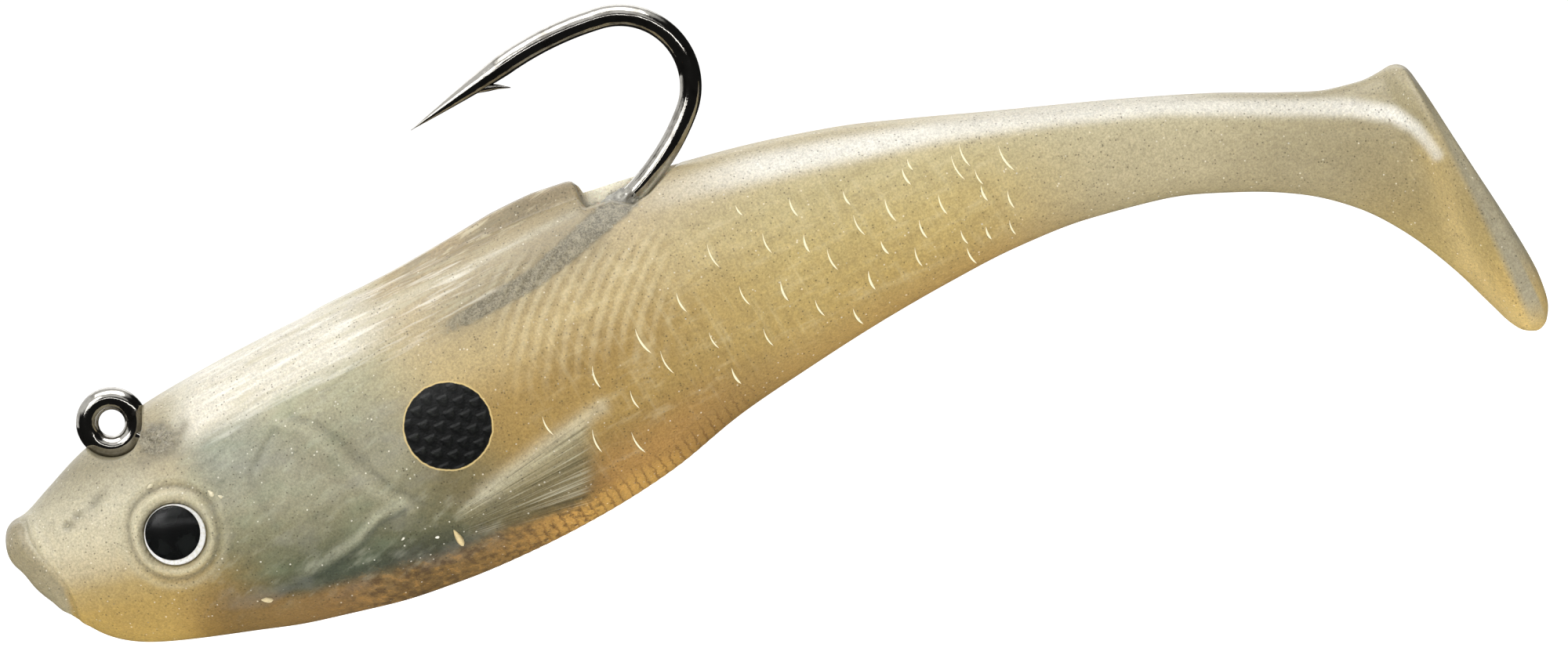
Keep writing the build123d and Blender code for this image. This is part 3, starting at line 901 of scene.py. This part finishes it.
class Paint:
    """A material being made, with shorthand for the nodes it uses."""

    def __init__(self, name, **sockets):
        self.material = bpy.data.materials.new(name)
        self.material.use_nodes = True
        self.tree = self.material.node_tree
        self.shader = self.tree.nodes["Principled BSDF"]
        for key, value in sockets.items():
            self.set(key.replace("_", " "), value)

    def set(self, socket, value):
        connect(self.tree, value, self.shader.inputs[socket])

    def node(self, kind, **inputs):
        return add_node(self.tree, kind, **inputs)

    def attribute(self, name, output="Vector"):
        node = self.node("Attribute")
        node.attribute_name = name
        return Wire(self.tree, node.outputs[output])

    def mask(self, name):
        """A number that the mesh stores at each vertex."""
        return self.attribute(name, "Fac")

    def split(self, vector):
        return [Wire(self.tree, out) for out in self.node("SeparateXYZ", Vector=vector).outputs]

    def join(self, x, y, z):
        return Wire(self.tree, self.node("CombineXYZ", X=x, Y=y, Z=z).outputs[0])

    def noise(self, place, scale, detail=2, roughness=0.5):
        node = self.node("TexNoise", Vector=place, Scale=scale, Detail=detail, Roughness=roughness)
        return Wire(self.tree, node.outputs["Fac"])

    def cells(self, place, scale):
        """The distance to the nearest cell's centre, and three random numbers of its own."""
        node = self.node("TexVoronoi", Vector=place, Scale=scale)
        rolls = self.node("SeparateColor", Color=Wire(self.tree, node.outputs["Color"]))
        return Wire(self.tree, node.outputs["Distance"]), [Wire(self.tree, out) for out in rolls.outputs]

    def mix(self, a, b, share, kind="MIX"):
        """Colour a with a share of b in it. Each is a colour code or a Wire."""
        node = self.node("Mix", Factor=share)
        node.data_type = "RGBA"
        node.blend_type = kind
        slots = [slot for slot in node.inputs if slot.type == "RGBA"]
        for slot, colour in zip(slots, (a, b)):
            connect(self.tree, colour, slot)
        return Wire(self.tree, [out for out in node.outputs if out.type == "RGBA"][0])

    def tones(self, colour, mask, pattern, *layers):
        """Lays tones on a colour: each a code, where in the pattern it starts and is full, and its share."""
        for code, start, full, share in layers:
            colour = self.mix(colour, code, mask * pattern.step(start, full) * share)
        return colour

    def bump(self, height, distance):
        node = self.node("Bump", Height=height, Distance=distance * MM)
        self.tree.links.new(node.outputs["Normal"], self.shader.inputs["Normal"])


# ---------------- skin material
def skin_material():
    """Milky plastisol: broad colours from the mesh, with all the fine markings over them."""
    p = Paint("pearl_plastisol", IOR=1.45, Coat_Weight=0.25, Coat_Roughness=0.2, Subsurface_Scale=0.8 * MM)
    p.set("Subsurface Radius", (1, 0.75, 0.45))
    p.set("Subsurface Weight", p.mask("inner_glow"))
    place = p.attribute("rest")
    u, out, v = p.split(p.attribute("drawn"))
    grain = p.noise(place, 7, 2, 0.7)
    mottle = p.noise(place, 1.8, 3, 0.7)
    shade = 0.17 + p.noise(place, 0.3, 3) * 0.16 + mottle * 0.4 + grain * 1.1
    colour = p.mix(p.attribute("tint"), p.join(shade, shade, shade), 1, "MULTIPLY")

    colour, streak_height = highlight_streaks_and_smudges(p, colour, u, out, v)
    colour, light = foil_and_glitter(p, colour, place, u, out, v)
    colour, muscle_height = muscle_streaks(p, colour, place, u, v, mottle)
    colour = scale_streaks(p, colour, u, v)
    colour, belly_height = belly_marks(p, colour, u, out, v)
    colour, lead_height = lead_band(p, colour, place, grain, mottle)
    colour, ray_height = fin_rays(p, colour, u, v)
    # The trim's gloss also lightens its colour: a painted highlight on the scale edges and glints.
    flash = p.mask("flash")
    colour = p.mix(colour, "fbf0cb", flash)
    colour, spot, scale_height = black_spot(p, colour, place, u, v)

    p.set("Base Color", colour)
    p.set("Roughness", (0.36 + grain * 0.16 + spot * 0.04 - light * 0.2 - flash * 0.1).at_least(0.1))
    height = grain * 0.5 + ray_height + muscle_height + belly_height
    p.bump(height + scale_height + streak_height + lead_height, 0.06)
    return p.material


def highlight_streaks_and_smudges(p, colour, u, out, v):
    """Brushed streaks on the shoulders, their light tone a painted highlight over the brow, smudges on the
    ridge, and the streaks' height.
    """
    streaks = p.mask("streaks")
    brushed = p.noise(p.join(u * 0.16, out * 1.5, (v - u * 0.25) * 2), 1, 3, 0.6)
    # The light streaks are a painted highlight; the darker ones are the brushed texture.
    colour = p.tones(colour, streaks, brushed, ("fffdf2", 0.5, 0.7, 0.4), ("b9b296", 0.52, 0.34, 0.55))
    smudge = p.noise(p.join(u * 0.4, out * 1.6, (v - u * 0.42) * 2.4), 1, 3, 0.6)
    ridge = p.mask("ridge")
    colour = p.tones(colour, ridge, smudge, ("857a60", 0.5, 0.64, 0.6), ("ded3b4", 0.46, 0.34, 0.4))
    return colour, brushed * streaks * 0.5


def foil_and_glitter(p, colour, place, u, out, v):
    """The foil's sheen and wisps, dark flecks and painted glints all over, and how strong each glint is."""
    foil = p.mask("foil")
    sheen = p.noise(p.join(u * 0.7, out * 0.8, v * 1.2), 0.45, 2, 0.5)
    colour = p.tones(colour, foil, sheen, ("8b9c7e", 0.5, 0.75, 0.2), ("8e8d88", 0.5, 0.3, 0.2))
    wisps = p.noise(p.join(u * 0.45 + v * 0.35, 0, (v - u * 0.55) * 1.5), 0.8, 3, 0.6)
    colour = p.tones(colour, foil, wisps, ("c4c5ac", 0.5, 0.75, 0.25), ("4b523f", 0.48, 0.25, 0.28))
    gap, rolls = p.cells(place, 5.5)
    fleck = gap.step(0.42, 0.2)
    # The light flecks are painted glints.
    light = fleck * rolls[1].step(0.97, 0.985) * (0.45 + foil * 0.15)
    colour = p.mix(colour, "3a3323", fleck * rolls[0].step(0.87, 0.91) * 0.6)
    return p.mix(colour, "fffae8", light), light


def muscle_streaks(p, colour, place, u, v, mottle):
    """Steep, broken streaks on the shoulder, and their height."""
    muscle = p.mask("muscle") * p.noise(place, 0.35).step(0.3, 0.55)
    wave = (muscle_phase(u, v) + p.noise(place, 0.3) * 3 + (mottle - 0.5) * 1.2).cosine()
    colour = p.tones(colour, muscle, wave, ("e9dfbe", -0.6, 1, 0.13), ("8a6f3e", 0.4, -1, 0.12))
    return colour, wave * muscle * 0.25


def scale_streaks(p, colour, u, v):
    """Faint streaks in two directions where the scales are."""
    scaled = p.mask("scaled")
    lengthwise = p.noise(p.join(u * 0.28, 0, (v - u * 0.24) * 1.3), 0.9, 3, 0.65)
    steep = p.noise(p.join((u + v * 0.32) * 1.7, 0, v * 0.22), 0.9, 2, 0.6)
    colour = p.tones(colour, scaled, lengthwise, ("e6dab2", 0.5, 0.75, 0.24), ("7f6534", 0.5, 0.25, 0.2))
    return p.tones(colour, scaled, steep, ("e6dab2", 0.52, 0.75, 0.16), ("7f6534", 0.48, 0.28, 0.14))


def belly_marks(p, colour, u, out, v):
    """Brown blots on the belly, notches along its edge, and their height."""
    belly = p.mask("belly")
    blots = p.noise(p.join(u * 1.1 + v * 0.6, out, v * 1.4), 1.5, 3, 0.65)
    colour = p.tones(colour, belly, blots, ("4a3824", 0.47, 0.64, 0.6), ("b98a44", 0.47, 0.33, 0.35))
    tick = ((u + v * 0.35 + blots * 0.8) * (2 * math.pi / TICK_GAP)).cosine()
    ticks = p.mask("ticks") * tick.step(0.6, 0.98)
    return p.mix(colour, "6b4a22", ticks * 0.5), blots * belly * 0.4 - ticks * 0.4


def lead_band(p, colour, place, grain, mottle):
    """The lead, grey through the skin and brighter where bare, and its height."""
    lead = p.mask("lead") + (grain - 0.5) * 1.2 + (p.noise(place, 2) - 0.5) * 0.8
    lead = lead.step(0.2, 0.85)
    bare = p.mask("bare")
    pepper = p.noise(place, 7, 3, 0.8) * 0.7 + mottle * 0.3
    grey = p.mix("524c3c", "958e78", pepper.step(0.36, 0.62))
    grey = p.mix(grey, "cfcdc2", bare * pepper.step(0.6, 0.7) * 0.6)
    return p.mix(colour, grey, lead * (0.82 + bare * 0.16)), lead * 0.5


def fin_rays(p, colour, u, v):
    """The pectoral fin's uneven rays, and their height."""
    fin = p.mask("fin")
    across, rise = u - FIN_ROOT[0], v - FIN_ROOT[1]
    angle = (rise / across).arctangent() * (180 / math.pi)
    reach = (across * across + rise * rise).root()
    fine = p.noise(p.join(angle * 1.5, reach * 0.12, 0), 1, 2, 0.75)
    broad = p.noise(p.join(angle * 0.35, reach * 0.1, 4), 1, 1)
    rays = fine * 0.75 + broad * 0.25
    colour = p.tones(colour, fin, rays, ("dcd8bf", 0.5, 0.68, 0.45), ("4a4429", 0.5, 0.36, 0.6))
    return colour, rays * fin * 0.9


def black_spot(p, colour, place, u, v):
    """The black spot, gold edged, with columns of scales, and its mask and height."""
    across, rise = u - SPOT[0], v - SPOT[1]
    ragged = p.noise(place, 2.2) * 0.16
    r = (across * across + rise * rise).root() + ragged - 0.08
    inside = r.step(SPOT_R + 0.02, SPOT_R - 0.04)
    edge = r.step(SPOT_R + 0.13, SPOT_R + 0.06) * (1 - inside)
    column = (across * 0.97 + rise * 0.22) / 0.92
    index = column.floor()
    from_middle = abs((column - index - 0.5) * 2)
    up_column = (rise - across * 0.2) / 1.05 + index * 0.5
    up_scale = up_column - up_column.floor()
    tip = (up_scale - from_middle * 0.45).step(0, 0.55)
    scale = tip * (1 - up_scale.step(0.75, 0.98)) * (1 - from_middle.step(0.6, 0.95))
    # The scales' lighter tone is a painted highlight on their tips.
    black = p.mix("050706", "161914", scale * p.noise(place, 3).step(0.4, 0.65))
    colour = p.mix(colour, "d9c081", edge * 0.8)
    return p.mix(colour, black, inside), inside, scale * inside * 0.8


# ---------------- other materials
def nickel_material():
    """Polished black nickel with faint drawing marks and small dull patches."""
    p = Paint("black_nickel", Metallic=1)
    place = p.attribute("rest")
    x, y, z = p.split(place)
    patches = p.noise(place, 0.9, 3, 0.6)
    grain = p.noise(p.join(x * 0.4, y * 6, z * 0.4), 2)
    p.set("Base Color", p.mix("b4b1aa", "8f8b84", patches.step(0.45, 0.7)))
    p.set("Roughness", 0.06 + patches.step(0.55, 0.8) * 0.14 + grain * 0.05)
    p.bump(grain * 0.5 + patches, 0.02)
    return p.material


def lead_material():
    """Cast lead: dull grey, pitted, with brighter scraped crystals."""
    p = Paint("cast_lead", Metallic=0.4)
    place = p.attribute("rest")
    coarse = p.noise(place, 1.5, 3, 0.65)
    gap, rolls = p.cells(place, 4.5)
    bright = rolls[0].step(0.7, 0.95) * gap.step(0.5, 0.2)
    colour = p.mix("85837c", "bdbab0", coarse.step(0.3, 0.7))
    p.set("Base Color", p.mix(colour, "e2e0d6", bright * 0.7))
    p.set("Roughness", 0.62 - bright * 0.3)
    p.bump(coarse + rolls[1] * 0.5, 0.12)
    return p.material


def iris_material():
    """The pale foil disc behind the pupil, with a fine grain."""
    p = Paint("iris_foil")
    grain = p.noise(p.attribute("rest"), 6)
    p.set("Base Color", p.mix("ffffff", "eeece2", grain.step(0.4, 0.7)))
    p.set("Roughness", 0.28 + grain * 0.15)
    p.bump(grain, 0.01)
    return p.material


def pupil_material():
    """Gloss black print with a faint grey bloom."""
    p = Paint("pupil_black", Specular_IOR_Level=0.25)
    bloom = p.noise(p.attribute("rest"), 0.9)
    p.set("Base Color", p.mix("050606", "141716", bloom.step(0.4, 0.7)))
    p.set("Roughness", 0.22 + bloom * 0.1)
    return p.material


def lens_material():
    """Clear resin with a thin reflection that grows towards its edge."""
    material = bpy.data.materials.new("clear_resin")
    material.use_nodes = True
    tree = material.node_tree
    tree.nodes.remove(tree.nodes["Principled BSDF"])
    clear = add_node(tree, "BsdfTransparent")
    gloss = add_node(tree, "BsdfGlossy", Roughness=0.22)
    edge_on = Wire(tree, add_node(tree, "LayerWeight", Blend=0.5).outputs["Facing"])
    blend = add_node(tree, "MixShader", Fac=edge_on * edge_on * edge_on * edge_on * 0.6 + 0.03)
    tree.links.new(clear.outputs[0], blend.inputs[1])
    tree.links.new(gloss.outputs[0], blend.inputs[2])
    tree.links.new(blend.outputs[0], tree.nodes["Material Output"].inputs[0])
    return material


def foil_material():
    """Holographic foil of the flash inserts, in shifting green and blue greys."""
    p = Paint("flash_foil", Metallic=0.9)
    place = Wire(p.tree, p.node("TexCoord").outputs["Object"])
    _, rolls = p.cells(place, 900)
    colour = p.mix("8fa79a", "a4a7c0", rolls[0])
    p.set("Base Color", p.mix(colour, "c9cbb0", rolls[1].step(0.5, 1)))
    p.set("Roughness", 0.22 + rolls[2] * 0.25)
    return p.material


# ---------------- skin pieces
def sliver(surface, side, place, length, half_width, height, turn, bow):
    """Rings of six points for a raised strip, or None where it misses the skin."""
    ahead = np.array([math.cos(turn), math.sin(turn)])
    beside = np.array([ahead[1], -ahead[0]])
    rings = []
    for t in np.linspace(-1, 1, 11):
        centre = np.array(place) + ahead * t * length / 2 + beside * (1 - t * t) * bow * length
        half = max(half_width * (1 - t * t) ** 0.6 * (0.8 + 0.3 * t), 0.012)
        hits = [surface(*(centre + beside * k * half), side) for k in (-1, -0.5, 0, 0.5, 1)]
        if any(hit is None for hit in hits):
            return None
        lift = height * half / half_width
        lifts = (-0.03, lift * 0.75, lift, lift * 0.75, -0.03)
        ring = [point + normal * up for (point, normal), up in zip(hits, lifts)]
        underside = hits[2][0] - hits[2][1] * 0.08
        rings.append([*ring, underside])
    rings = np.array(rings)
    return rings[:, ::-1] if side > 0 else rings


def skin_trim(surface):
    """The raised scale edges with their painted highlight, and the nodules and painted glints, on both
    flanks, each with its colour and gloss.
    """
    dice = np.random.default_rng(11)
    trim = []
    for side in (-1, 1):
        for u, v, length in SCALE_EDGES_AND_HIGHLIGHTS:
            if side > 0:
                u, v = u + dice.normal(0, 0.25), v + dice.normal(0, 0.2)
            half_width = 0.085 + 0.045 * dice.random()
            turn = math.radians(-75 + dice.normal(0, 5))
            trim.append((sliver(surface, side, (u, v), length, half_width, 0.05, turn, 0.09), "f2e6c0", 0.8))
        for u, v, length, half_width, height, degrees, colour in NODULES_AND_GLINTS:
            turn = math.radians(degrees)
            trim.append((sliver(surface, side, (u, v), length, half_width, height, turn, 0), colour, 0.3))
    return [piece for piece in trim if piece[0] is not None]


def skin_finder(points):
    """A function that finds the skin's point and normal at a drawn place."""
    tree = BVHTree.FromPolygons(points.reshape(-1, 3).tolist(), ring_quads(*points.shape[:2]).tolist())

    def surface(u, v, side):
        x, z = u, v
        for _ in range(4):
            hit, normal, _, _ = tree.ray_cast(Vector((x, side * 20, z)), Vector((0, -side, 0)))
            if hit is None:
                return None
            now_u, now_v = drawn(hit.x, hit.y, hit.z)
            x, z = x + u - now_u, z + v - now_v
        return np.array(hit), np.array(normal)

    return surface


def skin_attributes(points, share, rim):
    """What the skin's material reads: place, colour and a mask for each marking."""
    x, y, z = points[..., 0], points[..., 1], points[..., 2]
    u, v = drawn(x, y, z)
    flank = flank_mask(y)
    from_seam = np.min([np.abs(x - seam) for seam in SEAMS], axis=0)
    sunk = along(u, [(22, 0.4), (29, 0.5), (31.5, 0.2), (33.5, -0.05), (36, -0.1)])
    half_width = along(u, [(20, 0.35), (24, 0.55), (30, 0.78), (34, 0.9), (36.5, 0.85)])
    collar = smooth(1.3, 0.55, path_distance(u, v + sunk, COLLAR) / half_width)
    foil = smooth(1, 6, u) * smooth(24, 17, u + 0.5 * (v + 6)) * smooth(0.6, 2.5, above_belly(u, v))
    return {
        "rest": points,
        "drawn": np.stack([u, np.abs(y), v], axis=-1),
        "tint": paint(x, y, z, share, rim),
        "inner_glow": 0.25 * smooth(0.5, 4.5, from_seam),
        "foil": foil * smooth(0.3, -1.5, above_brow(u, v)),
        "streaks": smooth(-3, 0, above_brow(u, v)) * band(u, 4, 8, 24, 30),
        "ridge": smooth(-0.35, 0.45, above_ridge(u, v)) * band(u, 18, 22, 33, 34),
        "lead": collar * band(u, 20.5, 25, 36.4, 37.2) + 1.5 * stain_mask(u, v),
        "bare": np.maximum(smooth(31.5, 34.5, u), smooth(5, 4, u)),
        "scaled": band(u, 25, 30, 58, 63) * band(share, 0.08, 0.2, 0.72, 0.84) * flank,
        "muscle": muscle_mask(u, v) * flank,
        "belly": band(u, 9, 15, 28, 33) * smooth(1, -0.2, v - along(u, AMBER_TOP)),
        "ticks": band(u, 22, 26, 38, 44) * smooth(1.9, 0.9, above_belly(u, v)),
        "fin": fin_mask(u, v, 1.2) * flank,
        "flash": np.zeros(x.shape),
    }


def trim_piece(rings, colour, gloss, keys):
    """One sliver as an object, with the skin's attributes and no mask but its gloss."""
    x, y, z = rings[..., 0], rings[..., 1], rings[..., 2]
    u, v = drawn(x, y, z)
    values = dict.fromkeys(keys, np.zeros(x.shape))
    values["rest"] = rings
    values["drawn"] = np.stack([u, np.abs(y), v], axis=-1)
    values["tint"] = np.ones(x.shape)[..., None] * linear(colour)
    values["flash"] = np.full(x.shape, gloss)
    return closed_grid("flash", rings, grid_normals(rings), values)


def make_skin(material):
    """The moulding in three pieces with matching edges, split halfway between the joints."""
    rows, seams = rib_rows()
    rim = np.interp(rows[:, 0], [86.3, 87.6], [0, 1])[:, None] * np.ones(COLUMNS)
    points, share = plain_body(rows, column_angles())
    points = cut_back(points)
    raised = relief(points[..., 0], points[..., 1], points[..., 2], share, rim)
    points = points + grid_normals(points) * raised[..., None]
    normals = grid_normals(points)
    attributes = skin_attributes(points, share, rim)
    trim = skin_trim(skin_finder(points))
    cuts = [0, *seams, len(rows) - 1]
    edges = [-math.inf, *SEAMS, math.inf]
    parts = [
        ("skin_front", "front", "middle", "body_flex", ("soft_body_front", "soft_body_middle")),
        ("skin_rear", "middle", "stem", "stem_flex", ("tail_stem",)),
        ("skin_tail", "stem", "tail", "paddle_flex", ("paddle",)),
    ]
    for n, (name, ahead, behind, joint, nodes) in enumerate(parts):
        part = slice(cuts[n], cuts[n + 1] + 1)
        own = {key: values[part] for key, values in attributes.items()}
        pieces = [closed_grid(name, points[part], normals[part], own)]
        for rings, colour, gloss in trim:
            if edges[n] <= rings[..., 0].mean() < edges[n + 1]:
                pieces.append(trim_piece(rings, colour, gloss, attributes))
        piece = joined(name, pieces) if len(pieces) > 1 else pieces[0]
        cover(piece, material)
        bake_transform(piece)
        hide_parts(*nodes)


# ---------------- other pieces
def cover(piece, material):
    """Gives a piece or a CAD node one material."""
    piece.data.materials.clear()
    piece.data.materials.append(material)


def finish_piece(piece, material, node):
    """Gives a piece its material, puts it on the front body and hides its CAD node."""
    cover(piece, material)
    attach(piece, "front")
    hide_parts(node)


def make_hook(material):
    """Ring eye, wire, point and barb as one polished piece."""
    turns = np.linspace(0, 2 * math.pi, 96, endpoint=False)
    ring_path = [(RING_R * math.cos(a), RING_R * math.sin(a)) for a in turns]
    ring = closed_ring("hook_ring", tube(ring_path, np.full(len(turns), RING_WIRE_R)))
    walked = np.linspace(0.2, POINT_LENGTH, 36)
    x, z = WIRE[-1]
    point = [(x + d * math.cos(POINT_HEADING), z + d * math.sin(POINT_HEADING)) for d in walked]
    taper = np.clip(1 - (walked / POINT_LENGTH) ** 1.25, 0.03, 1)
    radii = np.concatenate([np.full(len(WIRE), WIRE_R), WIRE_R * taper])
    wire = plain_tube("hook_wire", WIRE + point, radii)
    barb = plain_tube("hook_barb", BARB, BARB_ACROSS, BARB_UP, 24)
    finish_piece(joined("hook_polished", [wire, ring, barb]), material, "hook")


def make_lead(material):
    """The lead: ballast in the head, rough collar on the shank and sleeve at the neck."""
    dice = np.random.default_rng(7)
    ballast = plain_tube("ballast", BALLAST, BALLAST_ACROSS, BALLAST_UP)

    path = [p for p in COLLAR if p[0] > COLLAR_START]
    radii = along([x for x, _ in path], COLLAR_R)
    bumps = dice.normal(0, 0.05, (len(path), 64))
    beside = [np.roll(bumps, step, axis) for step in (1, -1) for axis in (0, 1)]
    collar = rough_tube("collar", path, radii, 64, (bumps + sum(beside)) / 2.2)

    angle = math.radians(NECK_ANGLE)
    reach = np.linspace(SLEEVE_R[0][0], SLEEVE_R[-1][0], 14)
    path = [(d * math.cos(angle), d * math.sin(angle)) for d in reach]
    bumps = dice.normal(0, 0.09, (len(path), 40))
    bumps = (bumps + np.roll(bumps, 1, 0) + np.roll(bumps, 1, 1)) / 1.7
    sleeve = rough_tube("neck_sleeve", path, along(reach, SLEEVE_R), 40, bumps)
    finish_piece(joined("lead_casting", [ballast, collar, sleeve]), material, "lead_weight")


def make_eyes(iris, pupil, lens):
    """A silver iris, a black pupil and a clear dome on each side."""
    plate = [
        (0.05, -0.06), (IRIS_R * 0.9, -0.06), (IRIS_R, 0), (IRIS_R - 0.04, 0.05),
        (PUPIL_R + 0.05, 0.015), (PUPIL_R - 0.1, 0), (0.05, 0),
    ]
    disc = [
        (0.05, 0), (PUPIL_R - 0.02, 0), (PUPIL_R, 0.02), (PUPIL_R - 0.03, 0.05),
        (PUPIL_R * 0.6, 0.07), (0.05, 0.08),
    ]
    lens_r = IRIS_R + 0.02
    arc = np.linspace(0.06, math.pi / 2 - 0.03, 22)
    dome = [(0.05, 0.1), (IRIS_R - 0.1, 0.1), (lens_r, 0.12)]
    dome += [(lens_r * math.cos(a), 0.14 + LENS_RISE * math.sin(a)) for a in arc]
    for side, word in ((-1, "left"), (1, "right")):
        piece = lathe(f"iris_{word}", plate, side, EYE_SEAT)
        finish_piece(piece, iris, f"eye_iris_{word}")
        piece = lathe(f"pupil_{word}", disc, side, EYE_SEAT + 0.01, shift=PUPIL_SHIFT)
        finish_piece(piece, pupil, f"eye_pupil_{word}")
        piece = lathe(f"lens_{word}", dome, side, EYE_SEAT)
        finish_piece(piece, lens, f"eye_lens_{word}")


# ---------------- stage, camera and light, in metres
FLOOR_HALF = 30
FLOOR_DROP = 0.045
CAMERA_ELEVATION, CAMERA_ROLL = math.radians(5), math.radians(13)
CAMERA_TARGET = Vector((0.04403, 0, -0.00382))
CAMERA_WIDTH = 0.10215
CAMERA_LENS, CAMERA_SENSOR = 135, 36


def make_stage():
    """A plain pale floor well below the lure, wide enough to fill every view."""
    z = cad_low.z - FLOOR_DROP
    corners = [(FLOOR_HALF * a, FLOOR_HALF * b, z) for a, b in ((-1, -1), (1, -1), (1, 1), (-1, 1))]
    mesh = bpy.data.meshes.new("floor")
    mesh.from_pydata(corners, [], [(0, 1, 2, 3)])
    floor = add_object("floor", mesh)
    p = Paint("floor_paper", Base_Color="fbfaf7", Roughness=0.9, Specular_IOR_Level=0.1)
    p.set("Emission Color", "ffffff")
    p.set("Emission Strength", 0.36)
    mesh.materials.append(p.material)
    floor.visible_glossy = False


def make_camera():
    """Square on to the left side, a little above, rolled so that the lure climbs."""
    camera = bpy.data.cameras.new("camera")
    camera.lens, camera.sensor_width = CAMERA_LENS, CAMERA_SENSOR
    camera.clip_start, camera.clip_end = 0.01, 100
    holder = add_object("camera", camera)
    tilt = Matrix.Rotation(math.pi / 2 - CAMERA_ELEVATION, 4, "X")
    roll = Matrix.Rotation(-CAMERA_ROLL, 4, "Z")
    back = Matrix.Translation((0, 0, CAMERA_WIDTH * CAMERA_LENS / CAMERA_SENSOR))
    holder.matrix_world = Matrix.Translation(CAMERA_TARGET) @ tilt @ roll @ back
    bpy.context.scene.camera = holder


def soft_box(name, place, width, height, power):
    """A rectangular soft light at a place, facing the lure."""
    light = bpy.data.lights.new(name, "AREA")
    light.shape = "RECTANGLE"
    light.size, light.size_y = width, height
    light.energy = power
    holder = add_object(name, light)
    holder.location = place
    holder.rotation_mode = "QUATERNION"
    middle = Vector((0.044, 0, 0))
    holder.rotation_quaternion = (middle - Vector(place)).to_track_quat("-Z", "Y")


def make_light():
    """Soft boxes in a pale studio that is dark in front, at the right and below."""
    soft_box("overhead", (0.05, -0.12, 0.42), 0.5, 0.3, 1.4)
    soft_box("front_left", (-0.28, -0.55, 0.30), 0.3, 0.3, 0.8)
    soft_box("front_low", (0.10, -0.62, 0.12), 0.7, 0.03, 0.3)
    soft_box("rear", (0.05, 0.45, 0.35), 0.6, 0.2, 0.5)
    world = bpy.data.worlds.new("studio")
    bpy.context.scene.world = world
    world.use_nodes = True
    tree = world.node_tree
    place = Wire(tree, add_node(tree, "TexCoord").outputs["Generated"])
    right, forward, height = [Wire(tree, out) for out in add_node(tree, "SeparateXYZ", Vector=place).outputs]
    front = forward.step(0.25, -0.15) * height.step(0.5, 0.3)
    side = right.step(0.3, 0.5) * height.step(0.85, 0.6)
    below = height.step(0.02, -0.02)
    background = tree.nodes["Background"]
    connect(tree, 0.97 - front.at_least(side).at_least(below) * 0.955, background.inputs["Strength"])
    background.inputs["Color"].default_value = (1, 1, 1, 1)
    bpy.context.scene.view_settings.view_transform = "Standard"
    bpy.context.scene.view_settings.look = "None"


make_camera()
make_stage()
make_light()
make_skin(skin_material())
make_hook(nickel_material())
make_lead(lead_material())
make_eyes(iris_material(), pupil_material(), lens_material())
foil = foil_material()
for name in ("flash_foil_left", "flash_foil_right"):
    cover(frame["nodes"][name], foil)
